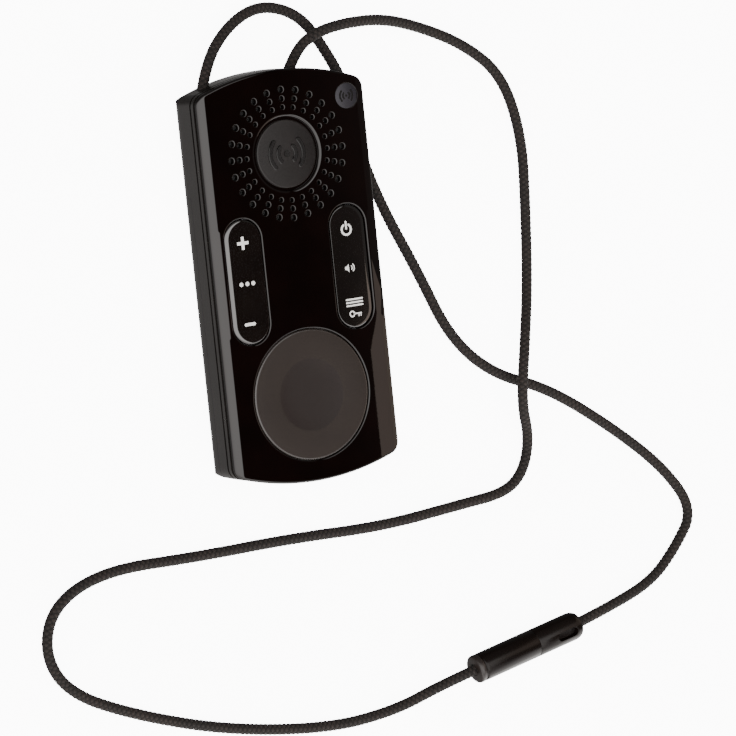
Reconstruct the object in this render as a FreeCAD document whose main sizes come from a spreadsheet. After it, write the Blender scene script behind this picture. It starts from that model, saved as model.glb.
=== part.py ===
"""Slim pendant two-way radio on a neck lanyard, as an assembly of separate pieces.

Frame: millimetres, origin at the centre of the back face, +X to the right of the face,
+Y towards the speaker and lanyard end, +Z out of the face.
"""
import FreeCAD, Part
import math
import os

import Sketcher
from FreeCAD import Placement, Rotation, Vector

DIMENSIONS = (
    # outline and layers of the case
    ("top_reach", 47.0), ("bottom_reach", 47.9), ("body_width", 44.0), ("body_depth", 12.8),
    ("top_bow_radius", 58.0), ("bottom_bow_radius", 62.5), ("corner_radius", 3.0),
    ("least_corner", 0.6), ("rear_roll_radius", 4.0), ("wall", 1.2),
    ("door_height", 5.4), ("door_end_y", 20.0), ("roll_inset", 3.2), ("roll_top_z", 4.2),
    ("housing_top_z", 9.1), ("groove_depth", 0.45), ("band_low_z", 9.7), ("band_height", 1.1),
    ("panel_floor_z", 11.6), ("panel_edge_radius", 1.0), ("plate_thickness", 1.0),
    ("frame_wall", 1.3), ("bay_roof_z", 6.5), ("bay_roof_thickness", 0.8),
    ("joint_gap", 0.05), ("tool_reach", 1.0),
    # finger grip of the battery door
    ("grip_from_end", 16.0), ("grip_length", 16.0), ("grip_width", 0.8), ("grip_depth", 0.35),
    ("grip_spread", 9.6), ("grip_count", 7),
    # speaker grille, badge and emblem
    ("grille_y", 27.7), ("grille_count", 24), ("inner_row_radius", 10.65),
    ("middle_row_radius", 12.6), ("outer_row_radius", 14.67), ("inner_hole_radius", 0.65),
    ("middle_hole_radius", 0.75), ("outer_hole_radius", 0.85), ("badge_recess_radius", 8.5),
    ("badge_recess_depth", 0.6), ("badge_radius", 7.85), ("badge_edge_drop", 0.3),
    ("badge_edge_width", 0.25), ("badge_rim_drop", 0.1), ("crown_drop", 0.05),
    ("emblem_x", 17.15), ("emblem_y", 39.05), ("emblem_radius", 2.9), ("emblem_depth", 0.3),
    # talk button
    ("talk_y", -27.8), ("talk_radius", 15.1), ("talk_gap", 0.25), ("talk_dish_radius", 8.4),
    ("talk_dish_depth", 0.3), ("talk_edge", 0.35), ("talk_flange_radius", 16.2),
    ("talk_flange_low_z", 10.95), ("talk_flange_thickness", 0.6), ("talk_well_radius", 16.6),
    ("talk_dome_radius", 5.0), ("talk_dome_slant", 1.5), ("talk_dome_skin", 0.4),
    ("talk_dome_foot", 3.0), ("talk_dome_neck", 2.6), ("talk_switch_radius", 2.0),
    ("talk_switch_crown", 1.4), ("talk_switch_height", 0.4),
    # key bars
    ("key_x", 13.9), ("key_width", 9.4), ("key_length", 28.6), ("key_gap", 0.2),
    ("key_well_gap", 0.3), ("key_edge", 0.5), ("key_seat_width", 8.0), ("key_low_z", 11.35),
    ("pivot_z", 11.2), ("ridge_radius", 1.0), ("ridge_width", 6.0), ("stalk_length", 2.0),
    ("boss_low_z", 9.95), ("keymat_low_z", 9.85), ("keymat_thickness", 0.4),
    ("keymat_width", 11.0), ("keymat_length", 29.6), ("keymat_hole_width", 7.4),
    ("keymat_hole_length", 3.4), ("key_spacing", 9.7), ("key_dome_radius", 2.0),
    ("key_dome_crown", 1.3), ("key_dome_height", 0.4),
    # boards, speaker and display
    ("board_low_z", 8.2), ("board_thickness", 0.8), ("board_inset", 2.2),
    ("post_radius", 1.9), ("post_hole_radius", 2.1), ("speaker_radius", 16.5),
    ("speaker_low_z", 7.4), ("speaker_gap", 0.3), ("gasket_width", 0.6), ("cloth_width", 0.35),
    ("cloth_thickness", 0.25), ("cloth_recess", 0.3), ("cloth_recess_gap", 0.4),
    ("magnet_radius", 6.2), ("magnet_drop", 3.0), ("magnet_rise", 0.9), ("magnet_gap", 0.1),
    ("basket_height", 2.8), ("basket_rim", 1.4), ("basket_floor", 0.6), ("cone_low", 1.4),
    ("cone_thickness", 0.25), ("cone_centre", 4.0), ("cone_edge", 3.0), ("cone_high", 2.5),
    ("surround_rise", 0.2), ("window_width", 12.6), ("window_length", 17.6),
    ("display_width", 13.2), ("display_length", 18.6), ("display_thickness", 1.4),
    ("display_lift", 0.1),
    # small electronic parts
    ("shield_width", 24.0), ("shield_length", 16.0), ("shield_height", 0.7),
    ("shield_skin", 0.2), ("shield_y", -24.0), ("chip_side", 7.0), ("chip_height", 0.7),
    ("chip_x", -3.5), ("chip_y", -7.5), ("microphone_x", 16.5), ("microphone_y", -40.4),
    ("microphone_radius", 2.0), ("microphone_height", 1.2), ("boot_radius", 2.4),
    ("boot_mouth", 0.8), ("motor_x", -18.0), ("motor_y", 37.2), ("motor_z", 4.2),
    ("motor_radius", 2.2), ("motor_length", 10.0), ("shaft_radius", 0.4),
    ("shaft_length", 3.6), ("weight_radius", 2.0), ("weight_length", 3.0), ("weight_gap", 0.4),
    ("weight_bore_radius", 0.45), ("weight_cut_z", 4.9), ("antenna_x", -12.5),
    ("antenna_length", 14.0), ("carrier_y", 40.4), ("carrier_thickness", 1.8),
    ("carrier_low_z", 1.4), ("carrier_height", 5.4), ("antenna_thickness", 0.3),
    ("antenna_margin", 0.1), ("port_angle", 14.5), ("port_width", 8.4), ("port_height", 3.8),
    ("port_depth", 8.0), ("socket_width", 7.6), ("socket_height", 2.8), ("socket_front", 2.4),
    ("mouth_width", 6.8), ("mouth_height", 2.0), ("plug_gap", 0.1), ("plug_inner", 2.2),
    # battery, contacts and screws
    ("battery_y", -8.6), ("battery_width", 32.0), ("battery_length", 54.0),
    ("battery_thickness", 4.9), ("battery_lift", 0.2), ("contact_width", 1.6),
    ("contact_thickness", 0.6), ("contact_height", 2.6), ("contact_x", -5.8),
    ("contact_pitch", 5.0), ("contact_y", 18.4), ("contact_z", 2.4), ("screw_x", 18.3),
    ("screw_high_y", 15.5), ("screw_low_y", -34.0), ("screw_radius", 0.8),
    ("screw_hole_gap", 0.1), ("screw_length", 3.6), ("screw_head_radius", 1.5),
    ("screw_head_height", 0.8),
    # lanyard and its breakaway clasp
    ("cord_diameter", 2.5), ("cord_hole_radius", 1.35), ("cord_hole_length", 7.0),
    ("cord_exit_z", 5.8), ("cord_stop_radius", 1.55), ("cord_stop_length", 2.4),
    ("clasp_x", 57.0), ("clasp_y", -97.9), ("clasp_angle", 11.0), ("clasp_radius", 3.45),
    ("clasp_length", 31.0), ("clasp_seam", 2.2), ("clasp_edge", 0.2), ("collar_length", 1.6),
    ("collar_slope_width", 0.7), ("collar_slope_length", 0.6), ("clasp_groove_depth", 0.15),
    ("clasp_groove_length", 0.4), ("clasp_core_radius", 2.0), ("clasp_web", 1.8),
    ("clasp_pin_radius", 1.62), ("clasp_pin_length", 5.8), ("clasp_pin_lead", 0.3),
    ("clasp_pin_taper", 0.5), ("clasp_bore_radius", 1.7), ("clasp_bore_depth", 6.2),
    ("clasp_nose_length", 1.8), ("clasp_nose_width", 1.1), ("clasp_tail_bore", 7.6),
    ("clasp_window_place", 10.4), ("clasp_window_tilt", 9.0), ("clasp_window_length", 5.8),
    ("clasp_window_width", 2.2), ("clasp_window_height", 4.5), ("clasp_window_round", 1.05),
    ("clasp_stop_radius", 1.9), ("clasp_stop_place", 3.5), ("clasp_stop_length", 3.0),
)

doc = FreeCAD.newDocument("PendantRadio")
sheet = doc.addObject("Spreadsheet::Sheet", "dims")
for row, (alias, number) in enumerate(DIMENSIONS, start=1):
    sheet.set(f"A{row}", alias)
    sheet.set(f"B{row}", str(number))
    sheet.setAlias(f"B{row}", alias)
doc.recompute()

# Places that several pieces share, as expressions on the sheet.
PANEL_TOP = "dims.body_depth"
PLATE_LOW = "dims.panel_floor_z - dims.plate_thickness"
BOARD_TOP = "dims.board_low_z + dims.board_thickness"
BAY_ROOF_TOP = "dims.bay_roof_z + dims.bay_roof_thickness"
WALL_Y = "dims.door_end_y + dims.wall"
pieces = {}


# --- helpers: values, bodies, sketches and features -----------------------------------------

def value(expression):
    """The number that an expression on the sheet has now."""
    return float(sheet.evalExpression(expression))


def bind(owner, **sizes):
    for name, expression in sizes.items():
        owner.setExpression(name, expression)


def place(owner, *position):
    for axis, expression in zip("xyz", position):
        owner.setExpression("Placement.Base." + axis, expression)


def keep(name, thing):
    """Label a finished sub-part with the name of its node."""
    thing.Label = name
    pieces[name] = thing
    return thing


def new_body(name):
    body = doc.addObject("PartDesign::Body", name)
    body.Label = name
    return body


def new_sketch(body, role="XY_Plane", shift=("0", "0", "0")):
    plane = next(item for item in body.Origin.OriginFeatures if item.Role == role)
    sketch = body.newObject("Sketcher::SketchObject", body.Name + "_sketch")
    sketch.AttachmentSupport = [(plane, "")]
    sketch.MapMode = "FlatFace"
    for axis, expression in zip("xyz", shift):
        sketch.setExpression("AttachmentOffset.Base." + axis, expression)
    return sketch


def constrain(sketch, expression, kind, *places):
    number = sketch.addConstraint(Sketcher.Constraint(kind, *places, value(expression)))
    sketch.setExpression(f"Constraints[{number}]", expression)


def link(sketch, kind, *places):
    sketch.addConstraint(Sketcher.Constraint(kind, *places))


def add_line(sketch, start, end):
    return sketch.addGeometry(Part.LineSegment(Vector(*start), Vector(*end)), False)


def add_arc(sketch, centre, radius, start, end):
    circle = Part.Circle(Vector(*centre), Vector(0, 0, 1), radius)
    return sketch.addGeometry(Part.ArcOfCircle(circle, start, end), False)


def add_circle(sketch, radius):
    """A circle about the sketch's own origin."""
    circle = sketch.addGeometry(Part.Circle(Vector(), Vector(0, 0, 1), value(radius)), False)
    link(sketch, "Coincident", circle, 3, -1, 1)
    constrain(sketch, radius, "Radius", circle)


def add_rectangle(sketch, width, height):
    """A rectangle centred on the sketch's own origin."""
    across, along = value(width) / 2, value(height) / 2
    corners = [(-across, -along), (across, -along), (across, along), (-across, along)]
    lines = [add_line(sketch, corners[i], corners[(i + 1) % 4]) for i in range(4)]
    for i in range(4):
        link(sketch, "Coincident", lines[i], 2, lines[(i + 1) % 4], 1)
        link(sketch, "Vertical" if i % 2 else "Horizontal", lines[i])
    link(sketch, "Symmetric", lines[0], 1, lines[2], 1, -1, 1)
    constrain(sketch, width, "DistanceX", lines[0], 1, lines[0], 2)
    constrain(sketch, height, "DistanceY", lines[1], 1, lines[1], 2)


def add_stadium(sketch, width, length):
    """A slot with round ends, centred on the sketch's own origin, long way along its y."""
    radius = value(width) / 2
    half = value(length) / 2 - radius
    upper = add_arc(sketch, (0, half), radius, 0, math.pi)
    left = add_line(sketch, (-radius, half), (-radius, -half))
    lower = add_arc(sketch, (0, -half), radius, math.pi, 2 * math.pi)
    right = add_line(sketch, (radius, -half), (radius, half))
    chain = (upper, left, lower, right)
    for i in range(4):
        link(sketch, "Tangent", chain[i], 2, chain[(i + 1) % 4], 1)
    link(sketch, "Equal", upper, lower)
    link(sketch, "PointOnObject", upper, 3, -2)
    link(sketch, "Symmetric", upper, 3, lower, 3, -1, 1)
    constrain(sketch, f"({width}) / 2", "Radius", upper)
    constrain(sketch, f"(({length}) - ({width})) / 2", "DistanceY", -1, 1, upper, 3)


def add_outline(sketch, inset="0", low_cut=None, high_cut=None):
    """The case's plan outline, moved in by inset: straight sides, bowed ends, round corners.

    low_cut or high_cut replaces that end with a straight edge at the given y.
    """
    half_width = f"dims.body_width / 2 - ({inset})"
    corner = f"max(dims.corner_radius - ({inset}); dims.least_corner)"
    across, small = value(half_width), value(corner)
    ends = []
    for side, end in ((1, "top"), (-1, "bottom")):
        bow, reach = f"dims.{end}_bow_radius", f"dims.{end}_reach"
        large = value(f"{bow} - ({inset})")
        centre = side * value(f"{reach} - {bow}")
        lift = math.sqrt((large - small) ** 2 - (across - small) ** 2)
        turn = math.atan2(lift, across - small)
        ends.append((side, bow, reach, large, centre, lift, turn))
    top_y = value(high_cut) if high_cut else ends[0][4] + ends[0][5]
    low_y = value(low_cut) if low_cut else ends[1][4] - ends[1][5]

    chain = []

    def add_end(end, cut, start_x, cut_y):
        side, bow, reach, large, centre, lift, turn = end
        if cut:
            line = add_line(sketch, (start_x, cut_y), (-start_x, cut_y))
            chain.append((line, "Coincident"))
            link(sketch, "Horizontal", line)
            constrain(sketch, cut, "DistanceY", -1, 1, line, 1)
            return
        base = 0 if side > 0 else math.pi
        inner_x, inner_y = side * (across - small), centre + side * lift
        first = add_arc(sketch, (inner_x, inner_y), small, base, base + turn)
        bowed = add_arc(sketch, (0, centre), large, base + turn, base + math.pi - turn)
        last = add_arc(sketch, (-inner_x, inner_y), small, base + math.pi - turn, base + math.pi)
        chain.extend(((first, "Tangent"), (bowed, "Tangent"), (last, "Tangent")))
        link(sketch, "PointOnObject", bowed, 3, -2)
        constrain(sketch, f"{bow} - ({inset})", "Radius", bowed)
        ordered = (bowed, 3, -1, 1) if side > 0 else (-1, 1, bowed, 3)
        constrain(sketch, f"{bow} - {reach}", "DistanceY", *ordered)
        constrain(sketch, corner, "Radius", first)
        constrain(sketch, corner, "Radius", last)

    right = add_line(sketch, (across, low_y), (across, top_y))
    chain.append((right, "Tangent"))
    add_end(ends[0], high_cut, across, top_y)
    left = add_line(sketch, (-across, top_y), (-across, low_y))
    chain.append((left, "Tangent"))
    add_end(ends[1], low_cut, -across, low_y)
    for i, (item, kind) in enumerate(chain):
        follower, other_kind = chain[(i + 1) % len(chain)]
        joint = "Tangent" if kind == other_kind == "Tangent" else "Coincident"
        link(sketch, joint, item, 2, follower, 1)
    link(sketch, "Vertical", right)
    link(sketch, "Vertical", left)
    constrain(sketch, half_width, "DistanceX", -1, 1, right, 1)
    constrain(sketch, half_width, "DistanceX", left, 1, -1, 1)


def add_polygon(sketch, points):
    """A closed profile through points whose coordinates are expressions on the sheet."""
    spots = [(value(x), value(y)) for x, y in points]
    count = len(spots)
    lines = [add_line(sketch, spots[i], spots[(i + 1) % count]) for i in range(count)]
    for i, (x, y) in enumerate(points):
        link(sketch, "Coincident", lines[i - 1], 2, lines[i], 1)
        for kind, axis, expression in (("DistanceX", -2, x), ("DistanceY", -1, y)):
            size = value(expression)
            if abs(size) < 1e-9:
                link(sketch, "PointOnObject", lines[i], 1, axis)
            elif size > 0:
                constrain(sketch, expression, kind, -1, 1, lines[i], 1)
            else:
                constrain(sketch, f"-({expression})", kind, lines[i], 1, -1, 1)


def pad(body, sketch, length):
    feature = body.newObject("PartDesign::Pad", body.Name + "_pad")
    feature.Profile = sketch
    bind(feature, Length=length)
    return feature


def pocket(body, sketch, length, upward=False, both=False):
    feature = body.newObject("PartDesign::Pocket", body.Name + "_pocket")
    feature.Profile = sketch
    feature.Reversed = upward
    feature.Midplane = both
    bind(feature, Length=length)
    return feature


def revolve(body, sketch, kind="Revolution"):
    feature = body.newObject("PartDesign::" + kind, body.Name + "_turn")
    feature.Profile = sketch
    feature.ReferenceAxis = (sketch, ["V_Axis"])
    feature.Angle = 360.0
    return feature


def turned_piece(name, points, x="0", y="0"):
    """A piece turned about a vertical axis at x, y from a profile of (radius, z) points."""
    body = new_body(name)
    sketch = new_sketch(body, "XZ_Plane", (x, "0", f"-({y})"))
    add_polygon(sketch, points)
    revolve(body, sketch)
    return keep(name, body)


def plate_piece(name, add_shape, low, thickness, x="0", y="0"):
    """A flat piece: one closed shape, raised from z = low."""
    body = new_body(name)
    sketch = new_sketch(body, shift=(x, y, low))
    add_shape(sketch)
    pad(body, sketch, thickness)
    return keep(name, body)


def box(name, size, low_corner):
    solid = doc.addObject("Part::Box", name)
    bind(solid, Length=size[0], Width=size[1], Height=size[2])
    place(solid, *low_corner)
    return solid


def cylinder(name, radius, height, base, direction=Vector(0, 0, 1)):
    solid = doc.addObject("Part::Cylinder", name)
    bind(solid, Radius=radius, Height=height)
    solid.Placement = Placement(Vector(), Rotation(Vector(0, 0, 1), direction))
    place(solid, *base)
    return solid


def fuse(name, *solids):
    result = doc.addObject("Part::MultiFuse", name)
    result.Shapes = list(solids)
    return result


def cut(name, solid, tool):
    result = doc.addObject("Part::Cut", name)
    result.Base = solid
    result.Tool = tool
    return result


def group(name, solids):
    """Identical separate pieces that share one node."""
    result = doc.addObject("Part::Compound", name)
    result.Links = list(solids)
    return keep(name, result)


def roll_rear_edges(body, end):
    """Round the rear edges of both long sides and of the top or bottom end."""
    radius = "dims.rear_roll_radius"

    def add_roll_profile(sketch, edge):
        x, roll = value(edge), value(radius)
        out = value("dims.tool_reach")
        floor = add_line(sketch, (x - roll, -out), (x + out, -out))
        outer = add_line(sketch, (x + out, -out), (x + out, roll))
        upper = add_line(sketch, (x + out, roll), (x, roll))
        arc = add_arc(sketch, (x - roll, roll), roll, -math.pi / 2, 0)
        inner = add_line(sketch, (x - roll, 0), (x - roll, -out))
        joints = ((floor, 2, outer, 1), (outer, 2, upper, 1), (upper, 2, arc, 2),
                  (arc, 1, inner, 1), (inner, 2, floor, 1))
        for joint in joints:
            link(sketch, "Coincident", *joint)
        for kind, lines in (("Horizontal", (floor, upper)), ("Vertical", (outer, inner))):
            for line in lines:
                link(sketch, kind, line)
        link(sketch, "Vertical", arc, 3, arc, 1)
        link(sketch, "Horizontal", arc, 3, arc, 2)
        link(sketch, "PointOnObject", arc, 1, -1)
        constrain(sketch, radius, "Radius", arc)
        constrain(sketch, edge, "DistanceX", -1, 1, arc, 2)
        constrain(sketch, "dims.tool_reach", "DistanceX", upper, 2, upper, 1)
        constrain(sketch, "dims.tool_reach", "DistanceY", inner, 2, inner, 1)

    sides = new_sketch(body, "XZ_Plane")
    add_roll_profile(sides, "dims.body_width / 2")
    long_cut = pocket(body, sides, "dims.bottom_reach * 4", both=True)
    mirrored = body.newObject("PartDesign::Mirrored", body.Name + "_mirror")
    mirrored.Originals = [long_cut]
    mirrored.MirrorPlane = (sides, ["V_Axis"])
    body.Tip = mirrored
    sign = "" if end == "bottom" else "-"
    bow = f"dims.{end}_bow_radius"
    ends = new_sketch(body, "YZ_Plane", (f"{sign}({bow} - dims.{end}_reach)", "0", "0"))
    add_roll_profile(ends, bow)
    revolve(body, ends, "Groove")


# --- routes of the cords ----------------------------------------------------------------------

# Corners of each cord's route, from the case to the clasp. The cords lie on the surface that
# the radio lies on, except where one leaves the case, passes over the other or meets the clasp.
LEFT_CORD = (
    (-16.9, 42.4, 5.8), (-14.8, 50.2, 5.8), (-6.5, 58.1, 3.4), (3.5, 61.7, 1.25),
    (13.3, 58.6, 1.25), (19.2, 50.4, 1.25), (24.3, 40.0, 1.25), (25.8, 25.5, 1.25),
    (30.8, 11.0, 1.25), (38.6, -4.9, 1.25), (45.5, -21.3, 1.25), (56.4, -31.8, 1.25),
    (71.7, -37.5, 1.25), (89.1, -49.7, 1.25), (103.2, -61.9, 1.25), (110.7, -73.5, 1.25),
    (104.3, -81.8, 1.25), (96.7, -88.6, 1.25), (83.7, -92.1, 3.45), (71.33, -95.11, 3.45),
)
RIGHT_CORD = (
    (5.6, 44.3, 5.8), (9.0, 50.6, 5.8), (14.5, 54.1, 6.8), (22.6, 55.4, 6.8),
    (34.4, 55.2, 3.6), (45.7, 52.2, 1.25), (57.5, 46.8, 1.25), (67.4, 38.5, 1.25),
    (71.4, 23.5, 1.25), (70.4, 5.5, 1.25), (68.8, -12.5, 1.25), (62.8, -26.0, 6.8),
    (60.4, -39.0, 6.8), (65.1, -48.6, 1.25), (62.5, -56.4, 1.25), (56.8, -60.6, 1.25),
    (44.0, -61.4, 1.25), (22.0, -63.0, 1.25), (-3.0, -61.8, 1.25), (-28.0, -61.9, 1.25),
    (-52.0, -61.0, 1.25), (-65.7, -66.5, 1.25), (-69.5, -77.0, 1.25), (-64.5, -87.0, 1.25),
    (-48.5, -95.0, 1.25), (-25.0, -103.0, 1.25), (2.0, -107.7, 1.25), (20.5, -106.8, 1.25),
    (32.46, -102.67, 3.45), (45.22, -100.19, 3.45),
)


def first_run(points):
    """Where a cord starts inside the case, and the direction in which it leaves."""
    start = Vector(*points[0])
    return start, (Vector(*points[1]) - start).normalize()


# --- case ----------------------------------------------------------------------------------------

def make_front_panel():
    body = new_body("front_panel")
    plan = new_sketch(body, shift=("0", "0", "dims.panel_floor_z"))
    add_outline(plan)
    slab = pad(body, plan, f"{PANEL_TOP} - dims.panel_floor_z")
    doc.recompute()
    top_z = value(PANEL_TOP)
    edges = [f"Edge{i}" for i, edge in enumerate(slab.Shape.Edges, start=1)
             if edge.BoundBox.ZMin > top_z - 0.01]
    rounding = body.newObject("PartDesign::Fillet", "front_panel_edge")
    rounding.Base = (slab, edges)
    bind(rounding, Radius="dims.panel_edge_radius")

    def hole(shift, add_shape, depth="dims.body_depth"):
        sketch = new_sketch(body, shift=(*shift, PANEL_TOP))
        add_shape(sketch)
        return pocket(body, sketch, depth)

    hole(("0", "dims.talk_y"), lambda s: add_circle(s, "dims.talk_radius + dims.talk_gap"))
    for side in ("", "-"):
        hole((f"{side}dims.key_x", "0"), lambda s: add_stadium(
            s, "dims.key_width + 2 * dims.key_gap", "dims.key_length + 2 * dims.key_gap"))
    hole(("0", "dims.grille_y"), lambda s: add_circle(s, "dims.badge_recess_radius"),
         "dims.badge_recess_depth")
    hole(("dims.emblem_x", "dims.emblem_y"),
         lambda s: add_circle(s, "dims.emblem_radius + dims.joint_gap"), "dims.emblem_depth")
    for ring in ("inner", "middle", "outer"):
        sketch = new_sketch(body, shift=("0", "dims.grille_y", PANEL_TOP))
        bore = sketch.addGeometry(Part.Circle(Vector(0, value(f"dims.{ring}_row_radius"), 0),
                                              Vector(0, 0, 1), value(f"dims.{ring}_hole_radius")))
        link(sketch, "PointOnObject", bore, 3, -2)
        constrain(sketch, f"dims.{ring}_hole_radius", "Radius", bore)
        constrain(sketch, f"dims.{ring}_row_radius", "DistanceY", -1, 1, bore, 3)
        single = pocket(body, sketch, "dims.body_depth")
        row_of_holes = body.newObject("PartDesign::PolarPattern", f"{ring}_row")
        row_of_holes.Originals = [single]
        row_of_holes.Axis = (sketch, ["N_Axis"])
        row_of_holes.Angle = 360.0
        bind(row_of_holes, Occurrences="dims.grille_count")
        body.Tip = row_of_holes
    return keep("front_panel", body)


def make_front_housing():
    """Frame under the panel: a wall all round, a top plate with wells, and four screw posts."""
    body = new_body("front_housing")
    plan = new_sketch(body, shift=("0", "0", "dims.housing_top_z"))
    add_outline(plan, "dims.groove_depth")
    pad(body, plan, "dims.panel_floor_z - dims.housing_top_z")
    inner = new_sketch(body, shift=("0", "0", PLATE_LOW))
    add_outline(inner, "dims.groove_depth + dims.frame_wall")
    pocket(body, inner, "dims.body_depth")

    def well(shift, add_shape, depth="dims.body_depth"):
        sketch = new_sketch(body, shift=(*shift, "dims.panel_floor_z"))
        add_shape(sketch)
        pocket(body, sketch, depth)

    well(("0", "dims.talk_y"), lambda s: add_circle(s, "dims.talk_well_radius"))
    for side in ("", "-"):
        well((f"{side}dims.key_x", "0"), lambda s: add_stadium(
            s, "dims.key_width + 2 * dims.key_well_gap", "dims.key_length + 2 * dims.key_well_gap"))
    well(("0", "dims.grille_y"),
         lambda s: add_circle(s, "dims.speaker_radius - dims.gasket_width"))
    well(("0", "dims.grille_y"),
         lambda s: add_circle(s, "dims.speaker_radius + dims.cloth_recess_gap"),
         "dims.cloth_recess")
    well(("0", "0"), lambda s: add_rectangle(s, "dims.window_width", "dims.window_length"))
    for across in ("dims.screw_x", "-dims.screw_x"):
        for along in ("dims.screw_high_y", "dims.screw_low_y"):
            post = new_sketch(body, shift=(across, along, f"{BAY_ROOF_TOP} + dims.joint_gap"))
            add_circle(post, "dims.post_radius")
            add_circle(post, "dims.screw_radius")
            pad(body, post, f"{PLATE_LOW} - ({BAY_ROOF_TOP}) - dims.joint_gap")
    return keep("front_housing", body)


def make_trim_band():
    body = new_body("trim_band")
    plan = new_sketch(body, shift=("0", "0", "dims.band_low_z"))
    add_outline(plan)
    add_outline(plan, "dims.groove_depth")
    pad(body, plan, "dims.band_height")
    return keep("trim_band", body)


def port_tool(name, width, height, near, far):
    """A box square to the bowed top end at the port's angle, between two radii."""
    solid = doc.addObject("Part::Box", name)
    bind(solid, Length=width, Width=f"({far}) - ({near})", Height=height)
    angle = value("dims.port_angle")
    turn = Rotation(Vector(0, 0, 1), -angle)
    centre_y = value("dims.top_reach - dims.top_bow_radius")
    corner = turn.multVec(Vector(-value(width) / 2, value(near), 0))
    solid.Placement = Placement(corner + Vector(0, centre_y, 0), turn)
    solid.setExpression("Placement.Base.z", f"dims.cord_exit_z - ({height}) / 2")
    return solid


def make_rear_housing():
    """Rear shell: full depth above the door, and only the upper side walls beside it."""
    body = new_body("rear_housing_shell")
    plan = new_sketch(body)
    add_outline(plan)
    pad(body, plan, "dims.housing_top_z")
    door_room = new_sketch(body)
    add_outline(door_room, "-dims.tool_reach", high_cut="dims.door_end_y")
    pocket(body, door_room, "dims.door_height", upward=True)
    bay = new_sketch(body)
    add_outline(bay, "dims.wall", high_cut="dims.door_end_y - dims.tool_reach")
    pocket(body, bay, "dims.bay_roof_z", upward=True)
    tray = new_sketch(body, shift=("0", "0", "dims.housing_top_z"))
    add_outline(tray, "dims.wall")
    pocket(body, tray, f"dims.housing_top_z - ({BAY_ROOF_TOP})")
    for inset, floor in (("dims.wall", "dims.roll_top_z"), ("dims.roll_inset", "dims.wall")):
        chamber = new_sketch(body, shift=("0", "0", "dims.housing_top_z"))
        add_outline(chamber, inset, low_cut=WALL_Y)
        pocket(body, chamber, f"dims.housing_top_z - ({floor})")
    roll_rear_edges(body, "top")
    tools = []
    for side, points in (("left", LEFT_CORD), ("right", RIGHT_CORD)):
        start, outward = first_run(points)
        tools.append(cylinder(f"{side}_cord_hole", "dims.cord_hole_radius",
                              "dims.cord_hole_length", [str(number) for number in start],
                              outward))
    tools.append(port_tool("port_opening", "dims.port_width", "dims.port_height",
                           "dims.top_bow_radius - dims.port_depth",
                           "dims.top_bow_radius + dims.tool_reach"))
    for side in ("", "-"):
        for along in ("dims.screw_high_y", "dims.screw_low_y"):
            tools.append(cylinder("screw_hole", "dims.screw_radius + dims.screw_hole_gap",
                                  "dims.bay_roof_thickness + 2 * dims.tool_reach",
                                  (f"{side}dims.screw_x", along,
                                   "dims.bay_roof_z - dims.tool_reach")))
    return keep("rear_housing", cut("rear_housing", body, fuse("rear_openings", *tools)))


def make_battery_door():
    body = new_body("battery_door")
    plan = new_sketch(body)
    add_outline(plan, high_cut="dims.door_end_y - dims.joint_gap")
    pad(body, plan, "dims.door_height - dims.joint_gap")
    for inset, floor in (("dims.wall", "dims.roll_top_z"), ("dims.roll_inset", "dims.wall")):
        hollow = new_sketch(body, shift=("0", "0", "dims.door_height"))
        add_outline(hollow, inset, high_cut="dims.door_end_y + dims.tool_reach")
        pocket(body, hollow, f"dims.door_height - ({floor})")
    roll_rear_edges(body, "bottom")
    ridge = new_sketch(body, shift=("0", "dims.door_end_y - dims.grip_from_end", "0"))
    add_rectangle(ridge, "dims.grip_length", "dims.grip_width")
    groove = pocket(body, ridge, "dims.grip_depth", upward=True)
    grip = body.newObject("PartDesign::LinearPattern", "door_grip")
    grip.Originals = [groove]
    grip.Direction = (ridge, ["V_Axis"])
    bind(grip, Length="dims.grip_spread", Occurrences="dims.grip_count")
    body.Tip = grip
    return keep("battery_door", body)


# --- controls --------------------------------------------------------------------------------

def make_talk_button():
    dish = "dims.body_depth - dims.crown_drop"
    flange_top = "dims.talk_flange_low_z + dims.talk_flange_thickness"
    turned_piece("talk_button", (
        ("0", "dims.talk_flange_low_z"),
        ("dims.talk_flange_radius", "dims.talk_flange_low_z"),
        ("dims.talk_flange_radius", flange_top),
        ("dims.talk_radius", flange_top),
        ("dims.talk_radius", f"{dish} - dims.talk_edge"),
        ("dims.talk_radius - dims.talk_edge", dish),
        ("dims.talk_dish_radius", dish),
        ("dims.talk_dish_radius * 0.6", f"{dish} - dims.talk_dish_depth * 0.7"),
        ("0", f"{dish} - dims.talk_dish_depth")), y="dims.talk_y")
    base = f"{BOARD_TOP} + dims.joint_gap"
    crown = "dims.talk_flange_low_z - dims.joint_gap"
    turned_piece("talk_return_dome", (
        ("dims.talk_dome_foot", base), ("dims.talk_dome_radius", base),
        ("dims.talk_dome_radius - dims.talk_dome_slant", crown), ("0", crown),
        ("0", f"{crown} - dims.talk_dome_skin"),
        ("dims.talk_dome_neck", f"{crown} - dims.talk_dome_skin")), y="dims.talk_y")
    turned_piece("talk_switch", (
        ("0", BOARD_TOP), ("dims.talk_switch_radius", BOARD_TOP),
        ("dims.talk_switch_crown", f"{BOARD_TOP} + dims.talk_switch_height"),
        ("0", f"{BOARD_TOP} + dims.talk_switch_height + dims.joint_gap")), y="dims.talk_y")


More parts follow.
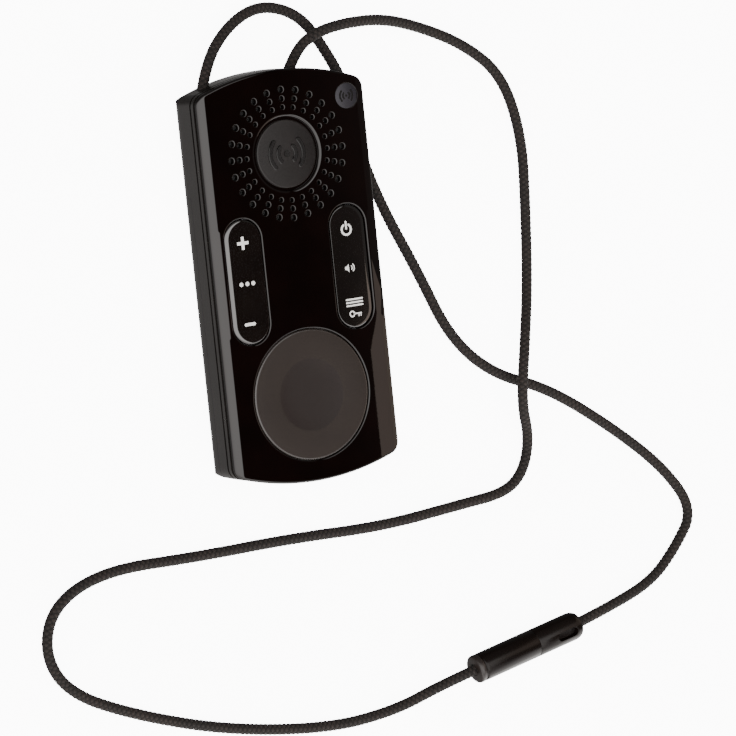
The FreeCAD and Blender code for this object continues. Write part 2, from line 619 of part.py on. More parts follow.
def make_key_side(side, sign):
    """One key bar with the rubber boss that it rocks on, and the mat under it."""
    across = f"{sign}dims.key_x"
    bar = new_body(f"{side}_key_bar")
    plan = new_sketch(bar, shift=(across, "0", "dims.key_low_z"))
    add_stadium(plan, "dims.key_width", "dims.key_length")
    slab = pad(bar, plan, "dims.body_depth - dims.crown_drop - dims.key_low_z")
    doc.recompute()
    top_z = value("dims.body_depth - dims.crown_drop")
    edges = [f"Edge{i}" for i, edge in enumerate(slab.Shape.Edges, start=1)
             if edge.BoundBox.ZMin > top_z - 0.01]
    rounding = bar.newObject("PartDesign::Fillet", f"{side}_key_edge")
    rounding.Base = (slab, edges)
    bind(rounding, Radius="dims.key_edge")
    seat = new_sketch(bar, "YZ_Plane", ("0", "dims.pivot_z", across))
    add_circle(seat, "dims.ridge_radius + dims.joint_gap")
    pocket(bar, seat, "dims.key_seat_width", both=True)
    keep(f"{side}_key_bar", bar)

    boss = new_body(f"{side}_key_boss")
    stalk = new_sketch(boss, shift=(across, "0", "dims.boss_low_z"))
    add_rectangle(stalk, "dims.ridge_width", "dims.stalk_length")
    pad(boss, stalk, "dims.pivot_z - dims.boss_low_z")
    ridge = new_sketch(boss, "YZ_Plane", ("0", "dims.pivot_z", across))
    add_circle(ridge, "dims.ridge_radius")
    crest = pad(boss, ridge, "dims.ridge_width")
    crest.Midplane = True
    keep(f"{side}_key_boss", boss)

    mat = new_body(f"{side}_keymat")
    sheet_plan = new_sketch(mat, shift=(across, "0", "dims.keymat_low_z"))
    add_stadium(sheet_plan, "dims.keymat_width", "dims.keymat_length")
    add_rectangle(sheet_plan, "dims.keymat_hole_width", "dims.keymat_hole_length")
    pad(mat, sheet_plan, "dims.keymat_thickness")
    keep(f"{side}_keymat", mat)


def make_key_domes():
    domes = []
    for sign in ("", "-"):
        for step in (-1, 0, 1):
            cone = doc.addObject("Part::Cone", "key_dome")
            bind(cone, Radius1="dims.key_dome_radius", Radius2="dims.key_dome_crown",
                 Height="dims.key_dome_height")
            place(cone, f"{sign}dims.key_x", f"{step} * dims.key_spacing", BOARD_TOP)
            domes.append(cone)
    group("key_domes", domes)


# --- inner pieces -----------------------------------------------------------------------------

def make_board():
    """Main board: follows the case inside, round the speaker and the four posts."""
    body = new_body("main_board")
    plan = new_sketch(body, shift=("0", "0", "dims.board_low_z"))
    add_outline(plan, "dims.board_inset")
    pad(body, plan, "dims.board_thickness")

    def opening(shift, radius):
        sketch = new_sketch(body, shift=(*shift, BOARD_TOP))
        add_circle(sketch, radius)
        pocket(body, sketch, "dims.body_depth")

    opening(("0", "dims.grille_y"), "dims.speaker_radius + dims.speaker_gap")
    for across in ("dims.screw_x", "-dims.screw_x"):
        for along in ("dims.screw_high_y", "dims.screw_low_y"):
            opening((across, along), "dims.post_hole_radius")
    keep("main_board", body)
    sizes = ("dims.shield_width", "dims.shield_length", "dims.shield_height")
    low = "dims.board_low_z - dims.shield_height"
    can = box("shield_outer", sizes, ("-dims.shield_width / 2", "dims.shield_y", low))
    hollow = box("shield_inner", ("dims.shield_width - 2 * dims.shield_skin",
                                  "dims.shield_length - 2 * dims.shield_skin",
                                  "dims.shield_height"),
                 ("-dims.shield_width / 2 + dims.shield_skin",
                  "dims.shield_y + dims.shield_skin", f"{low} + dims.shield_skin"))
    keep("shield_can", cut("shield_can", can, hollow))
    keep("processor_chip", box("processor_chip",
                               ("dims.chip_side", "dims.chip_side", "dims.chip_height"),
                               ("dims.chip_x", "dims.chip_y",
                                "dims.board_low_z - dims.chip_height")))


def make_speaker():
    low = "dims.speaker_low_z"
    rim = "dims.speaker_radius"
    core = "dims.magnet_radius + dims.magnet_gap"
    top = f"{low} + dims.basket_height"
    wall = f"{rim} - dims.basket_rim"
    skin = "dims.cone_thickness"
    turned_piece("speaker_basket", (
        (core, low), (rim, low), (rim, top), (wall, top), (wall, f"{low} + dims.basket_floor"),
        (core, f"{low} + dims.basket_floor")), y="dims.grille_y")
    turned_piece("speaker_magnet", (
        ("0", f"{low} - dims.magnet_drop"), ("dims.magnet_radius", f"{low} - dims.magnet_drop"),
        ("dims.magnet_radius", f"{low} + dims.magnet_rise"),
        ("0", f"{low} + dims.magnet_rise")), y="dims.grille_y")
    turned_piece("speaker_cone", (
        ("0", f"{low} + dims.cone_low"), ("dims.cone_centre", f"{low} + dims.cone_low"),
        (f"{rim} - dims.cone_edge", f"{low} + dims.cone_high"), (wall, top), (rim, top),
        (rim, f"{top} + dims.surround_rise"), (f"{wall} - 0.2", f"{top} + dims.surround_rise"),
        (f"{rim} - dims.cone_edge - 0.1", f"{low} + dims.cone_high + {skin}"),
        ("dims.cone_centre - 0.1", f"{low} + dims.cone_low + {skin}"),
        ("0", f"{low} + dims.cone_low + {skin}")), y="dims.grille_y")
    seat = f"{top} + dims.surround_rise"
    turned_piece("speaker_gasket", (
        (f"{rim} - dims.gasket_width", seat), (rim, seat), (rim, PLATE_LOW),
        (f"{rim} - dims.gasket_width", PLATE_LOW)), y="dims.grille_y")
    plate_piece("speaker_cloth", lambda s: add_circle(s, "dims.speaker_radius + dims.cloth_width"),
                "dims.panel_floor_z - dims.cloth_recess", "dims.cloth_thickness",
                y="dims.grille_y")


def make_motor():
    axis = Vector(1, 0, 0)
    line = ("dims.motor_y", "dims.motor_z")
    end = "dims.motor_x + dims.motor_length"
    motor = cylinder("vibration_motor", "dims.motor_radius", "dims.motor_length",
                     ("dims.motor_x", *line), axis)
    shaft = cylinder("motor_shaft", "dims.shaft_radius", "dims.shaft_length", (end, *line), axis)
    keep("vibration_motor", fuse("vibration_motor_with_shaft", motor, shaft))
    weight = cylinder("weight_disc", "dims.weight_radius", "dims.weight_length",
                      (f"{end} + dims.weight_gap", *line), axis)
    bore = cylinder("weight_bore", "dims.weight_bore_radius", "dims.weight_length + 1",
                    (end, *line), axis)
    half = box("weight_half", ("dims.weight_length + 1", "dims.weight_radius * 2.5", "3"),
               (end, "dims.motor_y - dims.weight_radius * 1.25", "dims.weight_cut_z"))
    keep("motor_weight", cut("motor_weight", weight, fuse("weight_tools", bore, half)))


def make_small_electronics():
    keep("display_module", box("display_module", (
        "dims.display_width", "dims.display_length", "dims.display_thickness"), (
        "-dims.display_width / 2", "-dims.display_length / 2",
        f"{BOARD_TOP} + dims.display_lift")))
    spot = ("dims.microphone_x", "dims.microphone_y")
    plate_piece("microphone", lambda s: add_circle(s, "dims.microphone_radius"), BOARD_TOP,
                "dims.microphone_height", *spot)
    capsule_top = f"{BOARD_TOP} + dims.microphone_height"
    turned_piece("microphone_boot", (
        ("dims.microphone_radius", BOARD_TOP), ("dims.boot_radius", BOARD_TOP),
        ("dims.boot_radius", PLATE_LOW), ("dims.boot_mouth", PLATE_LOW),
        ("dims.boot_mouth", capsule_top), ("dims.microphone_radius", capsule_top)), *spot)
    make_motor()
    keep("antenna_carrier", box("antenna_carrier", (
        "dims.antenna_length", "dims.carrier_thickness", "dims.carrier_height"), (
        "dims.antenna_x", "dims.carrier_y", "dims.carrier_low_z")))
    keep("antenna", box("antenna", (
        "dims.antenna_length", "dims.antenna_thickness",
        "dims.carrier_height - 2 * dims.antenna_margin"), (
        "dims.antenna_x", "dims.carrier_y - dims.antenna_thickness",
        "dims.carrier_low_z + dims.antenna_margin")))
    bow = "dims.top_bow_radius"
    socket = port_tool("usb_socket_outer", "dims.socket_width", "dims.socket_height",
                       f"{bow} - dims.port_depth", f"{bow} - dims.socket_front")
    mouth = port_tool("usb_mouth", "dims.mouth_width", "dims.mouth_height",
                      f"{bow} - dims.port_depth + 1", f"{bow} - dims.socket_front + 0.4")
    keep("usb_socket", cut("usb_socket", socket, mouth))
    keep("port_plug", port_tool("port_plug", "dims.port_width - 2 * dims.plug_gap",
                                "dims.port_height - 2 * dims.plug_gap",
                                f"{bow} - dims.plug_inner", f"{bow} - dims.joint_gap"))


def make_battery():
    pack = new_body("battery_pack")
    plan = new_sketch(pack, shift=("0", "dims.battery_y", "dims.wall + dims.battery_lift"))
    add_rectangle(plan, "dims.battery_width", "dims.battery_length")
    pad(pack, plan, "dims.battery_thickness")
    keep("battery_pack", pack)
    contacts = [box("battery_contact", (
        "dims.contact_width", "dims.contact_thickness", "dims.contact_height"), (
        f"dims.contact_x + {i} * dims.contact_pitch", "dims.contact_y", "dims.contact_z"))
        for i in range(3)]
    group("battery_contacts", contacts)


def make_case_screws():
    screws = []
    for sign in ("", "-"):
        for along in ("dims.screw_high_y", "dims.screw_low_y"):
            spot = (f"{sign}dims.screw_x", along)
            head = cylinder("screw_head", "dims.screw_head_radius", "dims.screw_head_height",
                            (*spot, "dims.bay_roof_z - dims.screw_head_height"))
            shank = cylinder("screw_shank", "dims.screw_radius", "dims.screw_length",
                             (*spot, "dims.bay_roof_z - dims.joint_gap"))
            screws.append(fuse("case_screw", head, shank))
    group("case_screws", screws)


# --- lanyard ----------------------------------------------------------------------------------

def make_cord(name, points):
    """A round tube along straight runs joined by tangent arcs, as large as the runs allow."""
    spots = [Vector(*point) for point in points]
    runs = [(b - a).Length for a, b in zip(spots, spots[1:])]
    edges, here, radii = [], spots[0], []
    for i in range(1, len(spots) - 1):
        before = (spots[i] - spots[i - 1]).normalize()
        after = (spots[i + 1] - spots[i]).normalize()
        half_turn = before.getAngle(after) / 2
        reach = 0.45 * min(runs[i - 1], runs[i])
        radius = reach / math.tan(half_turn)
        radii.append(round(radius, 1))
        start = spots[i] - before * reach
        end = spots[i] + after * reach
        inward = (after - before).normalize()
        middle = spots[i] + inward * (radius / math.cos(half_turn) - radius)
        edges.append(Part.LineSegment(here, start).toShape())
        edges.append(Part.Arc(start, middle, end).toShape())
        here = end
    edges.append(Part.LineSegment(here, spots[-1]).toShape())
    path = Part.Wire(edges)
    radius = value("dims.cord_diameter / 2")
    section = Part.Wire(Part.Circle(spots[0], (spots[1] - spots[0]).normalize(), radius).toShape())
    tube = path.makePipeShell([section], True, False)
    cord = doc.addObject("Part::Feature", name)
    cord.Shape = tube
    expected = math.pi * radius ** 2 * path.Length
    print(f"{name}: length {path.Length:.1f}, volume ratio {tube.Volume / expected:.4f}, "
          f"radii {radii}, least {min(radii)}, longest run {max(runs):.1f}")
    return keep(name, cord)


def along_clasp(distance, height=None):
    """A point on the clasp's axis, which lies level."""
    angle = math.radians(value("dims.clasp_angle"))
    z = value("dims.clasp_radius") if height is None else height
    return Vector(value("dims.clasp_x") + distance * math.cos(angle),
                  value("dims.clasp_y") + distance * math.sin(angle), z)


def clasp_turned(name, points):
    """A piece turned about the clasp's axis from a profile of (radius, distance) points."""
    body = new_body(name)
    sketch = new_sketch(body, "XZ_Plane")
    add_polygon(sketch, points)
    revolve(body, sketch)
    angle = value("dims.clasp_angle")
    body.Placement = Placement(along_clasp(0), Rotation(Vector(0, 0, 1), angle)
                               * Rotation(Vector(0, 1, 0), 90))
    return body


def make_clasp():
    low, high = "-dims.clasp_length / 2", "dims.clasp_length / 2"
    rim, seam, edge = "dims.clasp_radius", "dims.clasp_seam", "dims.clasp_edge"
    hole, bore = "dims.cord_hole_radius", "dims.clasp_bore_radius"
    collar = f"{low} + dims.collar_length"
    keep("clasp_collar", clasp_turned("clasp_collar", (
        (hole, low), (f"{rim} - dims.collar_slope_width", low),
        (rim, f"{low} + dims.collar_slope_length"), (rim, collar), (hole, collar))))
    groove = f"{rim} - dims.clasp_groove_depth"
    keep("clasp_socket", clasp_turned("clasp_socket", (
        ("dims.clasp_core_radius", collar), (groove, collar),
        (groove, f"{collar} + dims.clasp_groove_length"),
        (rim, f"{collar} + dims.clasp_groove_length + {edge}"), (rim, f"{seam} - {edge}"),
        (f"{rim} - {edge}", seam), (bore, seam), (bore, f"{seam} - dims.clasp_bore_depth"),
        ("0", f"{seam} - dims.clasp_bore_depth"),
        ("0", f"{seam} - dims.clasp_bore_depth - dims.clasp_web"),
        ("dims.clasp_core_radius", f"{seam} - dims.clasp_bore_depth - dims.clasp_web"))))
    pin, tip = "dims.clasp_pin_radius", f"{seam} - dims.clasp_pin_length"
    shell = clasp_turned("clasp_plug_shell", (
        ("0", tip), (f"{pin} - dims.clasp_pin_lead", tip),
        (pin, f"{tip} + dims.clasp_pin_taper"), (pin, seam), (f"{rim} - {edge}", seam),
        (rim, f"{seam} + {edge}"), (rim, f"{high} - dims.clasp_nose_length"),
        (f"{rim} - dims.clasp_nose_width / 3", f"{high} - dims.clasp_nose_length / 2"),
        (f"{rim} - dims.clasp_nose_width", high), (bore, high),
        (bore, f"{high} - dims.clasp_tail_bore"), ("0", f"{high} - dims.clasp_tail_bore")))
    window = doc.addObject("Part::Box", "clasp_window")
    bind(window, Length="dims.clasp_window_length", Width="dims.clasp_window_width",
         Height="dims.clasp_window_height")
    tilt = (Rotation(Vector(0, 0, 1), value("dims.clasp_angle"))
            * Rotation(Vector(1, 0, 0), value("dims.clasp_window_tilt")))
    corner = Vector(-value("dims.clasp_window_length / 2"), -value("dims.clasp_window_width / 2"))
    window.Placement = Placement(
        along_clasp(value("dims.clasp_window_place")) + tilt.multVec(corner), tilt)
    rounded = doc.addObject("Part::Fillet", "clasp_window_round")
    rounded.Base = window
    doc.recompute()
    height, corner_radius = value("dims.clasp_window_height"), value("dims.clasp_window_round")
    upright = [i for i, side in enumerate(window.Shape.Edges, start=1)
               if abs(side.Length - height) < 0.01]
    rounded.Edges = [(i, corner_radius, corner_radius) for i in upright]
    keep("clasp_plug", cut("clasp_plug", shell, rounded))
    stop, near = "dims.clasp_stop_radius", f"{low} + dims.clasp_stop_place"
    keep("clasp_cord_stop", clasp_turned("clasp_cord_stop", (
        ("0", near), (stop, near), (stop, f"{near} + dims.clasp_stop_length"),
        ("0", f"{near} + dims.clasp_stop_length"))))


def make_lanyard():
    for side, points in (("left", LEFT_CORD), ("right", RIGHT_CORD)):
        start, outward = first_run(points)
        base = start - outward * value("dims.cord_stop_length")
        keep(f"{side}_cord_stop", cylinder(f"{side}_cord_stop", "dims.cord_stop_radius",
                                           "dims.cord_stop_length",
                                           [str(number) for number in base], outward))
        make_cord(f"{side}_lanyard_cord", points)
    make_clasp()


make_front_panel()
make_front_housing()
make_trim_band()
make_rear_housing()
make_battery_door()
turned_piece("badge_disc", (
    ("0", "dims.body_depth - dims.badge_recess_depth"),
    ("dims.badge_radius", "dims.body_depth - dims.badge_recess_depth"),
    ("dims.badge_radius", "dims.body_depth - dims.badge_edge_drop"),
    ("dims.badge_radius - dims.badge_edge_width", "dims.body_depth - dims.badge_rim_drop"),
    ("0", "dims.body_depth - dims.crown_drop")), y="dims.grille_y")
plate_piece("emblem_disc", lambda s: add_circle(s, "dims.emblem_radius"),
            "dims.body_depth - dims.emblem_depth", "dims.emblem_depth",
            "dims.emblem_x", "dims.emblem_y")
make_talk_button()
make_key_side("left", "-")
make_key_side("right", "")
make_key_domes()
make_board()
make_speaker()
make_small_electronics()
make_battery()
make_case_screws()
make_lanyard()
doc.recompute()

# --- checks and export -----------------------------------------------------------------------

failed = [item.Label for item in doc.Objects if {"Invalid", "Error"} & set(item.State)]
if failed:
    raise RuntimeError(f"these objects failed to recompute: {failed}")
for name, piece in pieces.items():
    if piece.Shape.isNull() or not piece.Shape.isValid() or not piece.Shape.Solids:
        raise RuntimeError(f"{name} has no valid shape")
os.makedirs("parts", exist_ok=True)
for name, piece in pieces.items():
    piece.Shape.exportStep(f"parts/{name}.step")
    print(f"{name}: {len(piece.Shape.Solids)} solid(s), {piece.Shape.Volume:.1f} mm3")
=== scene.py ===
"""Looks for the slim pendant two-way radio on its neck lanyard.

Metres, in the CAD's frame: origin at the centre of the back face, +X to the right of the face,
+Y towards the speaker and lanyard end, +Z out of the face. Sizes below are in millimetres and
go through MM.
"""
import math

import bmesh
import bpy
from mathutils import Matrix, Vector
from mathutils.geometry import delaunay_2d_cdt


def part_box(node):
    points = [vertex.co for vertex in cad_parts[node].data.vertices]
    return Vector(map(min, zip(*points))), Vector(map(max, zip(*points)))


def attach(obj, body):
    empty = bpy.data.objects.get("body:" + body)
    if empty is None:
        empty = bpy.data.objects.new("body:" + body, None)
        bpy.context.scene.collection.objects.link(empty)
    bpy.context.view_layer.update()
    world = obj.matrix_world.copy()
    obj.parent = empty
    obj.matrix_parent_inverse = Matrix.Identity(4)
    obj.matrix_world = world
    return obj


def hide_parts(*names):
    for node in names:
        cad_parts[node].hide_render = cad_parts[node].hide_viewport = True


MM = 0.001
TAU = 2 * math.pi

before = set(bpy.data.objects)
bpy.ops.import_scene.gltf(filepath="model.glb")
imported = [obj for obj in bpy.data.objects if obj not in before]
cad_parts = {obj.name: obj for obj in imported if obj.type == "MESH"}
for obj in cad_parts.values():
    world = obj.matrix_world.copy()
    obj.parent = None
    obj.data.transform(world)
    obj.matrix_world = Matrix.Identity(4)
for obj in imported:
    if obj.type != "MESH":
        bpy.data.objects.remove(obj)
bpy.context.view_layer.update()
scene = bpy.context.scene


# --- meshes -------------------------------------------------------------------------------------

class Shape:
    """Vertices in millimetres and faces, added piece by piece."""

    def __init__(self):
        self.points, self.faces = [], []

    def add(self, points, faces):
        base = len(self.points)
        self.points.extend(Vector(p) for p in points)
        self.faces.extend([i + base for i in face] for face in faces)

    def loft(self, loops, start_cap=False, end_cap=False):
        """Quads between closed loops of equal length, with flat caps where asked."""
        count = len(loops[0])
        faces = []
        for level in range(len(loops) - 1):
            for i in range(count):
                a, b = level * count + i, level * count + (i + 1) % count
                faces.append((a, b, b + count, a + count))
        if start_cap:
            faces.append(tuple(reversed(range(count))))
        if end_cap:
            faces.append(tuple(range((len(loops) - 1) * count, len(loops) * count)))
        self.add([p for loop in loops for p in loop], faces)

    def mesh(self, name):
        """The shape as a mesh in metres, joined up and with its normals pointing out."""
        mesh = bpy.data.meshes.new(name)
        mesh.from_pydata([p * MM for p in self.points], [], self.faces)
        work = bmesh.new()
        work.from_mesh(mesh)
        bmesh.ops.remove_doubles(work, verts=work.verts, dist=1e-7)
        bmesh.ops.recalc_face_normals(work, faces=work.faces)
        work.to_mesh(mesh)
        work.free()
        return mesh

    def build(self, name, material, body, replaces=(), sharp=38, turn=None):
        """The shape as a finished piece, moved by turn where that is given."""
        mesh = self.mesh(name)
        if turn is not None:
            mesh.transform(turn)
        return finish_piece(name, mesh, material, body, replaces, sharp)


def finish_piece(name, mesh, material, body, replaces, sharp):
    """An object that rides on its body, smooth but for edges sharper than sharp degrees."""
    for face in mesh.polygons:
        face.use_smooth = True
    mesh.set_sharp_from_angle(angle=math.radians(sharp))
    mesh.materials.append(material)
    piece = bpy.data.objects.new(name, mesh)
    scene.collection.objects.link(piece)
    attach(piece, body)
    if replaces:
        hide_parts(*replaces)
    return piece


def ring(x, y, radius, z, count):
    angles = (TAU * i / count for i in range(count))
    return [Vector((x + radius * math.cos(a), y + radius * math.sin(a), z)) for a in angles]


def stadium(x, y, width, length, z, arc=28, side=10):
    """A slot-shaped loop, long way along Y."""
    radius, half = width / 2, (length - width) / 2
    loop = []
    for i in range(arc + 1):
        a = math.pi * i / arc
        loop.append(Vector((x + radius * math.cos(a), y + half + radius * math.sin(a), z)))
    loop += [Vector((x - radius, y + half - 2 * half * i / side, z)) for i in range(1, side)]
    for i in range(arc + 1):
        a = math.pi + math.pi * i / arc
        loop.append(Vector((x + radius * math.cos(a), y - half + radius * math.sin(a), z)))
    loop += [Vector((x + radius, y - half + 2 * half * i / side, z)) for i in range(1, side)]
    return loop


def quarter(width, height, steps):
    """(inset, drop) along a quarter of an ellipse, from the flat top out to the side."""
    return [(width * (1 - math.sin(a)), height * (1 - math.cos(a)))
            for a in (0.5 * math.pi * i / steps for i in range(steps + 1))]


HALF_WIDTH, CORNER = 22.0, 3.0
ENDS = ((1, 58.0, 47.0), (-1, 62.5, 47.9))   # which end, radius of its bow, how far it reaches
SIDE_STEPS = (0.96, 0.8, 0.6, 0.4)
FLARE_HEIGHTS = (12.5, 12.0, 6.0, 0.0, -6.0, -12.0, -12.5)   # the edge widens beside the key bars
FLARE = 0.45


def case_outline(inset, z, flare=0.0, end_inset=None, corner=None):
    """The case's plan outline: straight sides, bowed ends and round corners.

    inset moves the sides in, and the ends too unless end_inset is given. flare moves the sides
    in further beside the key bars.
    """
    if end_inset is None:
        end_inset = inset
    across, corner = HALF_WIDTH - inset, corner or max(CORNER - end_inset, 0.6)
    loop, ends = [], []
    for side, bow, reach in ENDS:
        large, centre = bow - end_inset, side * (reach - bow)
        lift = math.sqrt((large - corner) ** 2 - (across - corner) ** 2)
        ends.append((side, large, centre, math.atan2(lift, across - corner), centre + side * lift))
    low_y, high_y = ends[1][4], ends[0][4]
    heights = [(step * high_y, 0) for step in SIDE_STEPS]
    heights += [(y, flare if abs(y) < FLARE_HEIGHTS[0] else 0) for y in FLARE_HEIGHTS]
    heights += [(step * low_y, 0) for step in reversed(SIDE_STEPS)]
    for side, large, centre, turn, y in ends:
        base = 0 if side > 0 else math.pi
        x = side * (across - corner)
        for i in range(10):
            a = base + turn * i / 9
            loop.append(Vector((x + corner * math.cos(a), y + corner * math.sin(a), z)))
        for i in range(1, 48):
            a = base + turn + (math.pi - 2 * turn) * i / 48
            loop.append(Vector((large * math.cos(a), centre + large * math.sin(a), z)))
        for i in range(10):
            a = base + math.pi - turn + turn * i / 9
            loop.append(Vector((-x + corner * math.cos(a), y + corner * math.sin(a), z)))
        for height, move in (heights if side > 0 else reversed(heights)):
            loop.append(Vector((-side * (across - move), height, z)))
    return loop


def fill_between(shape, outer, holes, z, up=True):
    """A flat face inside outer with holes left out. Holes are (loop, test of x, y) pairs."""
    points, edges = [], []
    for loop in [outer] + [hole for hole, _ in holes]:
        base = len(points)
        points.extend((p.x, p.y) for p in loop)
        edges.extend((base + i, base + (i + 1) % len(loop)) for i in range(len(loop)))
    found, _, triangles, _, _, _ = delaunay_2d_cdt([Vector(p) for p in points], edges, [], 1, 1e-6)
    kept = []
    for tri in triangles:
        x = sum(found[i].x for i in tri) / len(tri)
        y = sum(found[i].y for i in tri) / len(tri)
        if not any(test(x, y) for _, test in holes):
            kept.append(tri if up else tuple(reversed(tri)))
    shape.add([(p.x, p.y, z) for p in found], kept)


# --- materials ----------------------------------------------------------------------------------

RANGE_INPUTS = ("From Min", "From Max", "To Min", "To Max")


class Nodes:
    """A material's node tree, with short calls for the nodes that are used again and again."""

    def __init__(self, name):
        self.material = bpy.data.materials.new(name)
        self.material.use_nodes = True
        self.tree = self.material.node_tree
        self.shader = self.tree.nodes["Principled BSDF"]

    def new(self, kind, **settings):
        node = self.tree.nodes.new(kind)
        for key, setting in settings.items():
            if key in node.inputs:
                node.inputs[key].default_value = setting
            else:
                setattr(node, key.lower(), setting)
        return node

    def join(self, source, target):
        self.tree.links.new(source, target)
        return target

    def place(self, kind="Object"):
        return self.new("ShaderNodeTexCoord").outputs[kind]

    def noise(self, size, detail):
        """Noise whose features are about size millimetres."""
        where = self.place()
        node = self.new("ShaderNodeTexNoise", Scale=1 / (size * MM), Detail=detail)
        self.join(where, node.inputs["Vector"])
        return node.outputs["Fac"]

    def spread(self, source, low, high, start=0.3, end=0.7):
        node = self.new("ShaderNodeMapRange")
        for key, number in zip(RANGE_INPUTS, (start, end, low, high)):
            node.inputs[key].default_value = number
        self.join(source, node.inputs["Value"])
        return node.outputs["Result"]

    def colours(self, source, first, second, start=0.3, end=0.7):
        ramp = self.new("ShaderNodeValToRGB")
        for stop, spot, colour in zip(ramp.color_ramp.elements, (start, end), (first, second)):
            stop.position, stop.color = spot, (*colour, 1)
        self.join(source, ramp.inputs["Fac"])
        return ramp.outputs["Color"]

    def maths(self, operation, a, b=None):
        node = self.new("ShaderNodeMath", operation=operation)
        for socket, item in zip(node.inputs, (a, b)):
            if isinstance(item, (int, float)):
                socket.default_value = item
            elif item is not None:
                self.join(item, socket)
        return node.outputs["Value"]

    def bump(self, source, height):
        """Bump of the given height in millimetres, on top of any bump made before."""
        node = self.new("ShaderNodeBump", Strength=1.0, Distance=height * MM)
        self.join(source, node.inputs["Height"])
        normal = self.shader.inputs["Normal"]
        if normal.is_linked:
            self.join(normal.links[0].from_socket, node.inputs["Normal"])
        self.join(node.outputs["Normal"], normal)


def finish(name, colour, rough, grain, height, vary=0.25, metal=0.0, specular=0.5, coat=0.0):
    """A moulded, painted or metal surface: colour and roughness vary a little, over fine grain.

    grain is the size of the grain and height its depth, both in millimetres.
    """
    nodes = Nodes(name)
    cloudy = nodes.noise(9.0, 4)
    fine = nodes.noise(grain, 2)
    dim = tuple(c * (1 - vary) for c in colour)
    bright = tuple(min(c * (1 + vary), 1) for c in colour)
    nodes.join(nodes.colours(cloudy, dim, bright), nodes.shader.inputs["Base Color"])
    mixed = nodes.maths("ADD", nodes.spread(cloudy, rough * 0.85, rough * 1.1),
                        nodes.spread(fine, -0.04 * rough, 0.12 * rough))
    nodes.join(mixed, nodes.shader.inputs["Roughness"])
    nodes.shader.inputs["Metallic"].default_value = metal
    nodes.shader.inputs["Specular IOR Level"].default_value = specular
    nodes.shader.inputs["Coat Weight"].default_value = coat
    if height:
        nodes.bump(fine, height)
    return nodes.material


gloss_panel = finish("panel_gloss", (0.0024, 0.0007, 0.0005), 0.012, 0.9, 0.0002)
key_gloss = finish("key_gloss", (0.0034, 0.0018, 0.0013), 0.06, 0.6, 0.0004, specular=1.0, coat=0.5)
print_white = finish("print_white", (0.80, 0.79, 0.77), 0.45, 0.2, 0.002, vary=0.05)
side_plastic = finish("case_side", (0.010, 0.0082, 0.0074), 0.22, 0.22, 0.004)
dark_plastic = finish("housing_black", (0.006, 0.005, 0.0045), 0.40, 0.25, 0.006)
band_plastic = finish("band_satin", (0.012, 0.010, 0.009), 0.24, 0.3, 0.003)
badge_plastic = finish("badge_satin", (0.0042, 0.0026, 0.0023), 0.30, 0.16, 0.008, specular=0.3)
relief_plastic = finish("relief_plastic", (0.0022, 0.0014, 0.0012), 0.22, 0.1, 0.002, vary=0.2,
                        specular=0.35)
emblem_paint = finish("emblem_blue", (0.022, 0.020, 0.025), 0.30, 0.2, 0.003, vary=0.15,
                      metal=0.4, specular=0.4)
rubber = finish("silicone", (0.30, 0.30, 0.32), 0.75, 0.3, 0.01)
spring_steel = finish("spring_steel", (0.60, 0.60, 0.62), 0.28, 0.4, 0.002, vary=0.1, metal=1.0)
tinned = finish("tinned_steel", (0.55, 0.55, 0.56), 0.34, 0.5, 0.002, vary=0.1, metal=1.0)
board = finish("board_green", (0.02, 0.12, 0.06), 0.35, 0.6, 0.01)
chip = finish("chip_black", (0.02, 0.02, 0.02), 0.55, 0.2, 0.01)
magnet = finish("magnet_dark", (0.08, 0.08, 0.09), 0.40, 0.5, 0.004, vary=0.2, metal=0.8)
cone_film = finish("cone_film", (0.35, 0.33, 0.28), 0.5, 0.5, 0.01)
display = finish("display_glass", (0.03, 0.04, 0.045), 0.08, 1.0, 0.0)
gold = finish("contact_gold", (0.75, 0.58, 0.25), 0.25, 0.4, 0.002, vary=0.1, metal=1.0)
plug_rubber = finish("plug_rubber", (0.022, 0.020, 0.019), 0.55, 0.2, 0.008)
battery_wrap = finish("battery_wrap", (0.10, 0.12, 0.15), 0.30, 1.5, 0.01)
fitting = finish("cord_fitting", (0.40, 0.40, 0.40), 0.35, 0.3, 0.004, vary=0.15, metal=1.0)
clasp_plastic = finish("clasp_plastic", (0.0040, 0.0020, 0.0014), 0.25, 0.4, 0.002,
                       specular=0.22)
collar_plastic = finish("collar_plastic", (0.013, 0.0090, 0.0078), 0.36, 0.4, 0.003)


def soft_material(x, y, dish, rim):
    """Soft-touch paint with a fine grain, darkened in the thumb's dish by painted shade, and
    glossier on the rim.
    """
    nodes = Nodes("talk_soft")
    split = nodes.new("ShaderNodeSeparateXYZ")
    nodes.join(nodes.place(), split.inputs["Vector"])
    squares = [nodes.maths("POWER", nodes.maths("SUBTRACT", split.outputs[axis], spot * MM), 2.0)
               for axis, spot in (("X", x), ("Y", y))]
    away = nodes.maths("SQRT", nodes.maths("ADD", *squares))
    # Painted shade: this mask darkens the colour inside the thumb's dish, on top of the random
    # tone.
    flat = nodes.spread(away, 0.0, 1.0, (dish - 0.25) * MM, (dish + 0.15) * MM)
    edge = nodes.spread(away, 0.0, 1.0, (rim - 0.05) * MM, (rim + 0.05) * MM)
    cloudy, fine = nodes.noise(9.0, 4), nodes.noise(0.12, 2)
    tone_and_dish_shade = nodes.maths("ADD", flat, nodes.spread(cloudy, -0.3, 0.3))
    nodes.join(nodes.colours(tone_and_dish_shade, (0.0104, 0.0062, 0.0054), (0.0150, 0.0102, 0.0080), 0.0, 1.0),
               nodes.shader.inputs["Base Color"])
    nodes.join(nodes.maths("SUBTRACT", nodes.spread(fine, 0.44, 0.54),
                           nodes.maths("MULTIPLY", edge, 0.24)), nodes.shader.inputs["Roughness"])
    nodes.join(nodes.spread(edge, 0.2, 0.75, 0.0, 1.0), nodes.shader.inputs["Specular IOR Level"])
    nodes.bump(fine, 0.006)
    return nodes.material


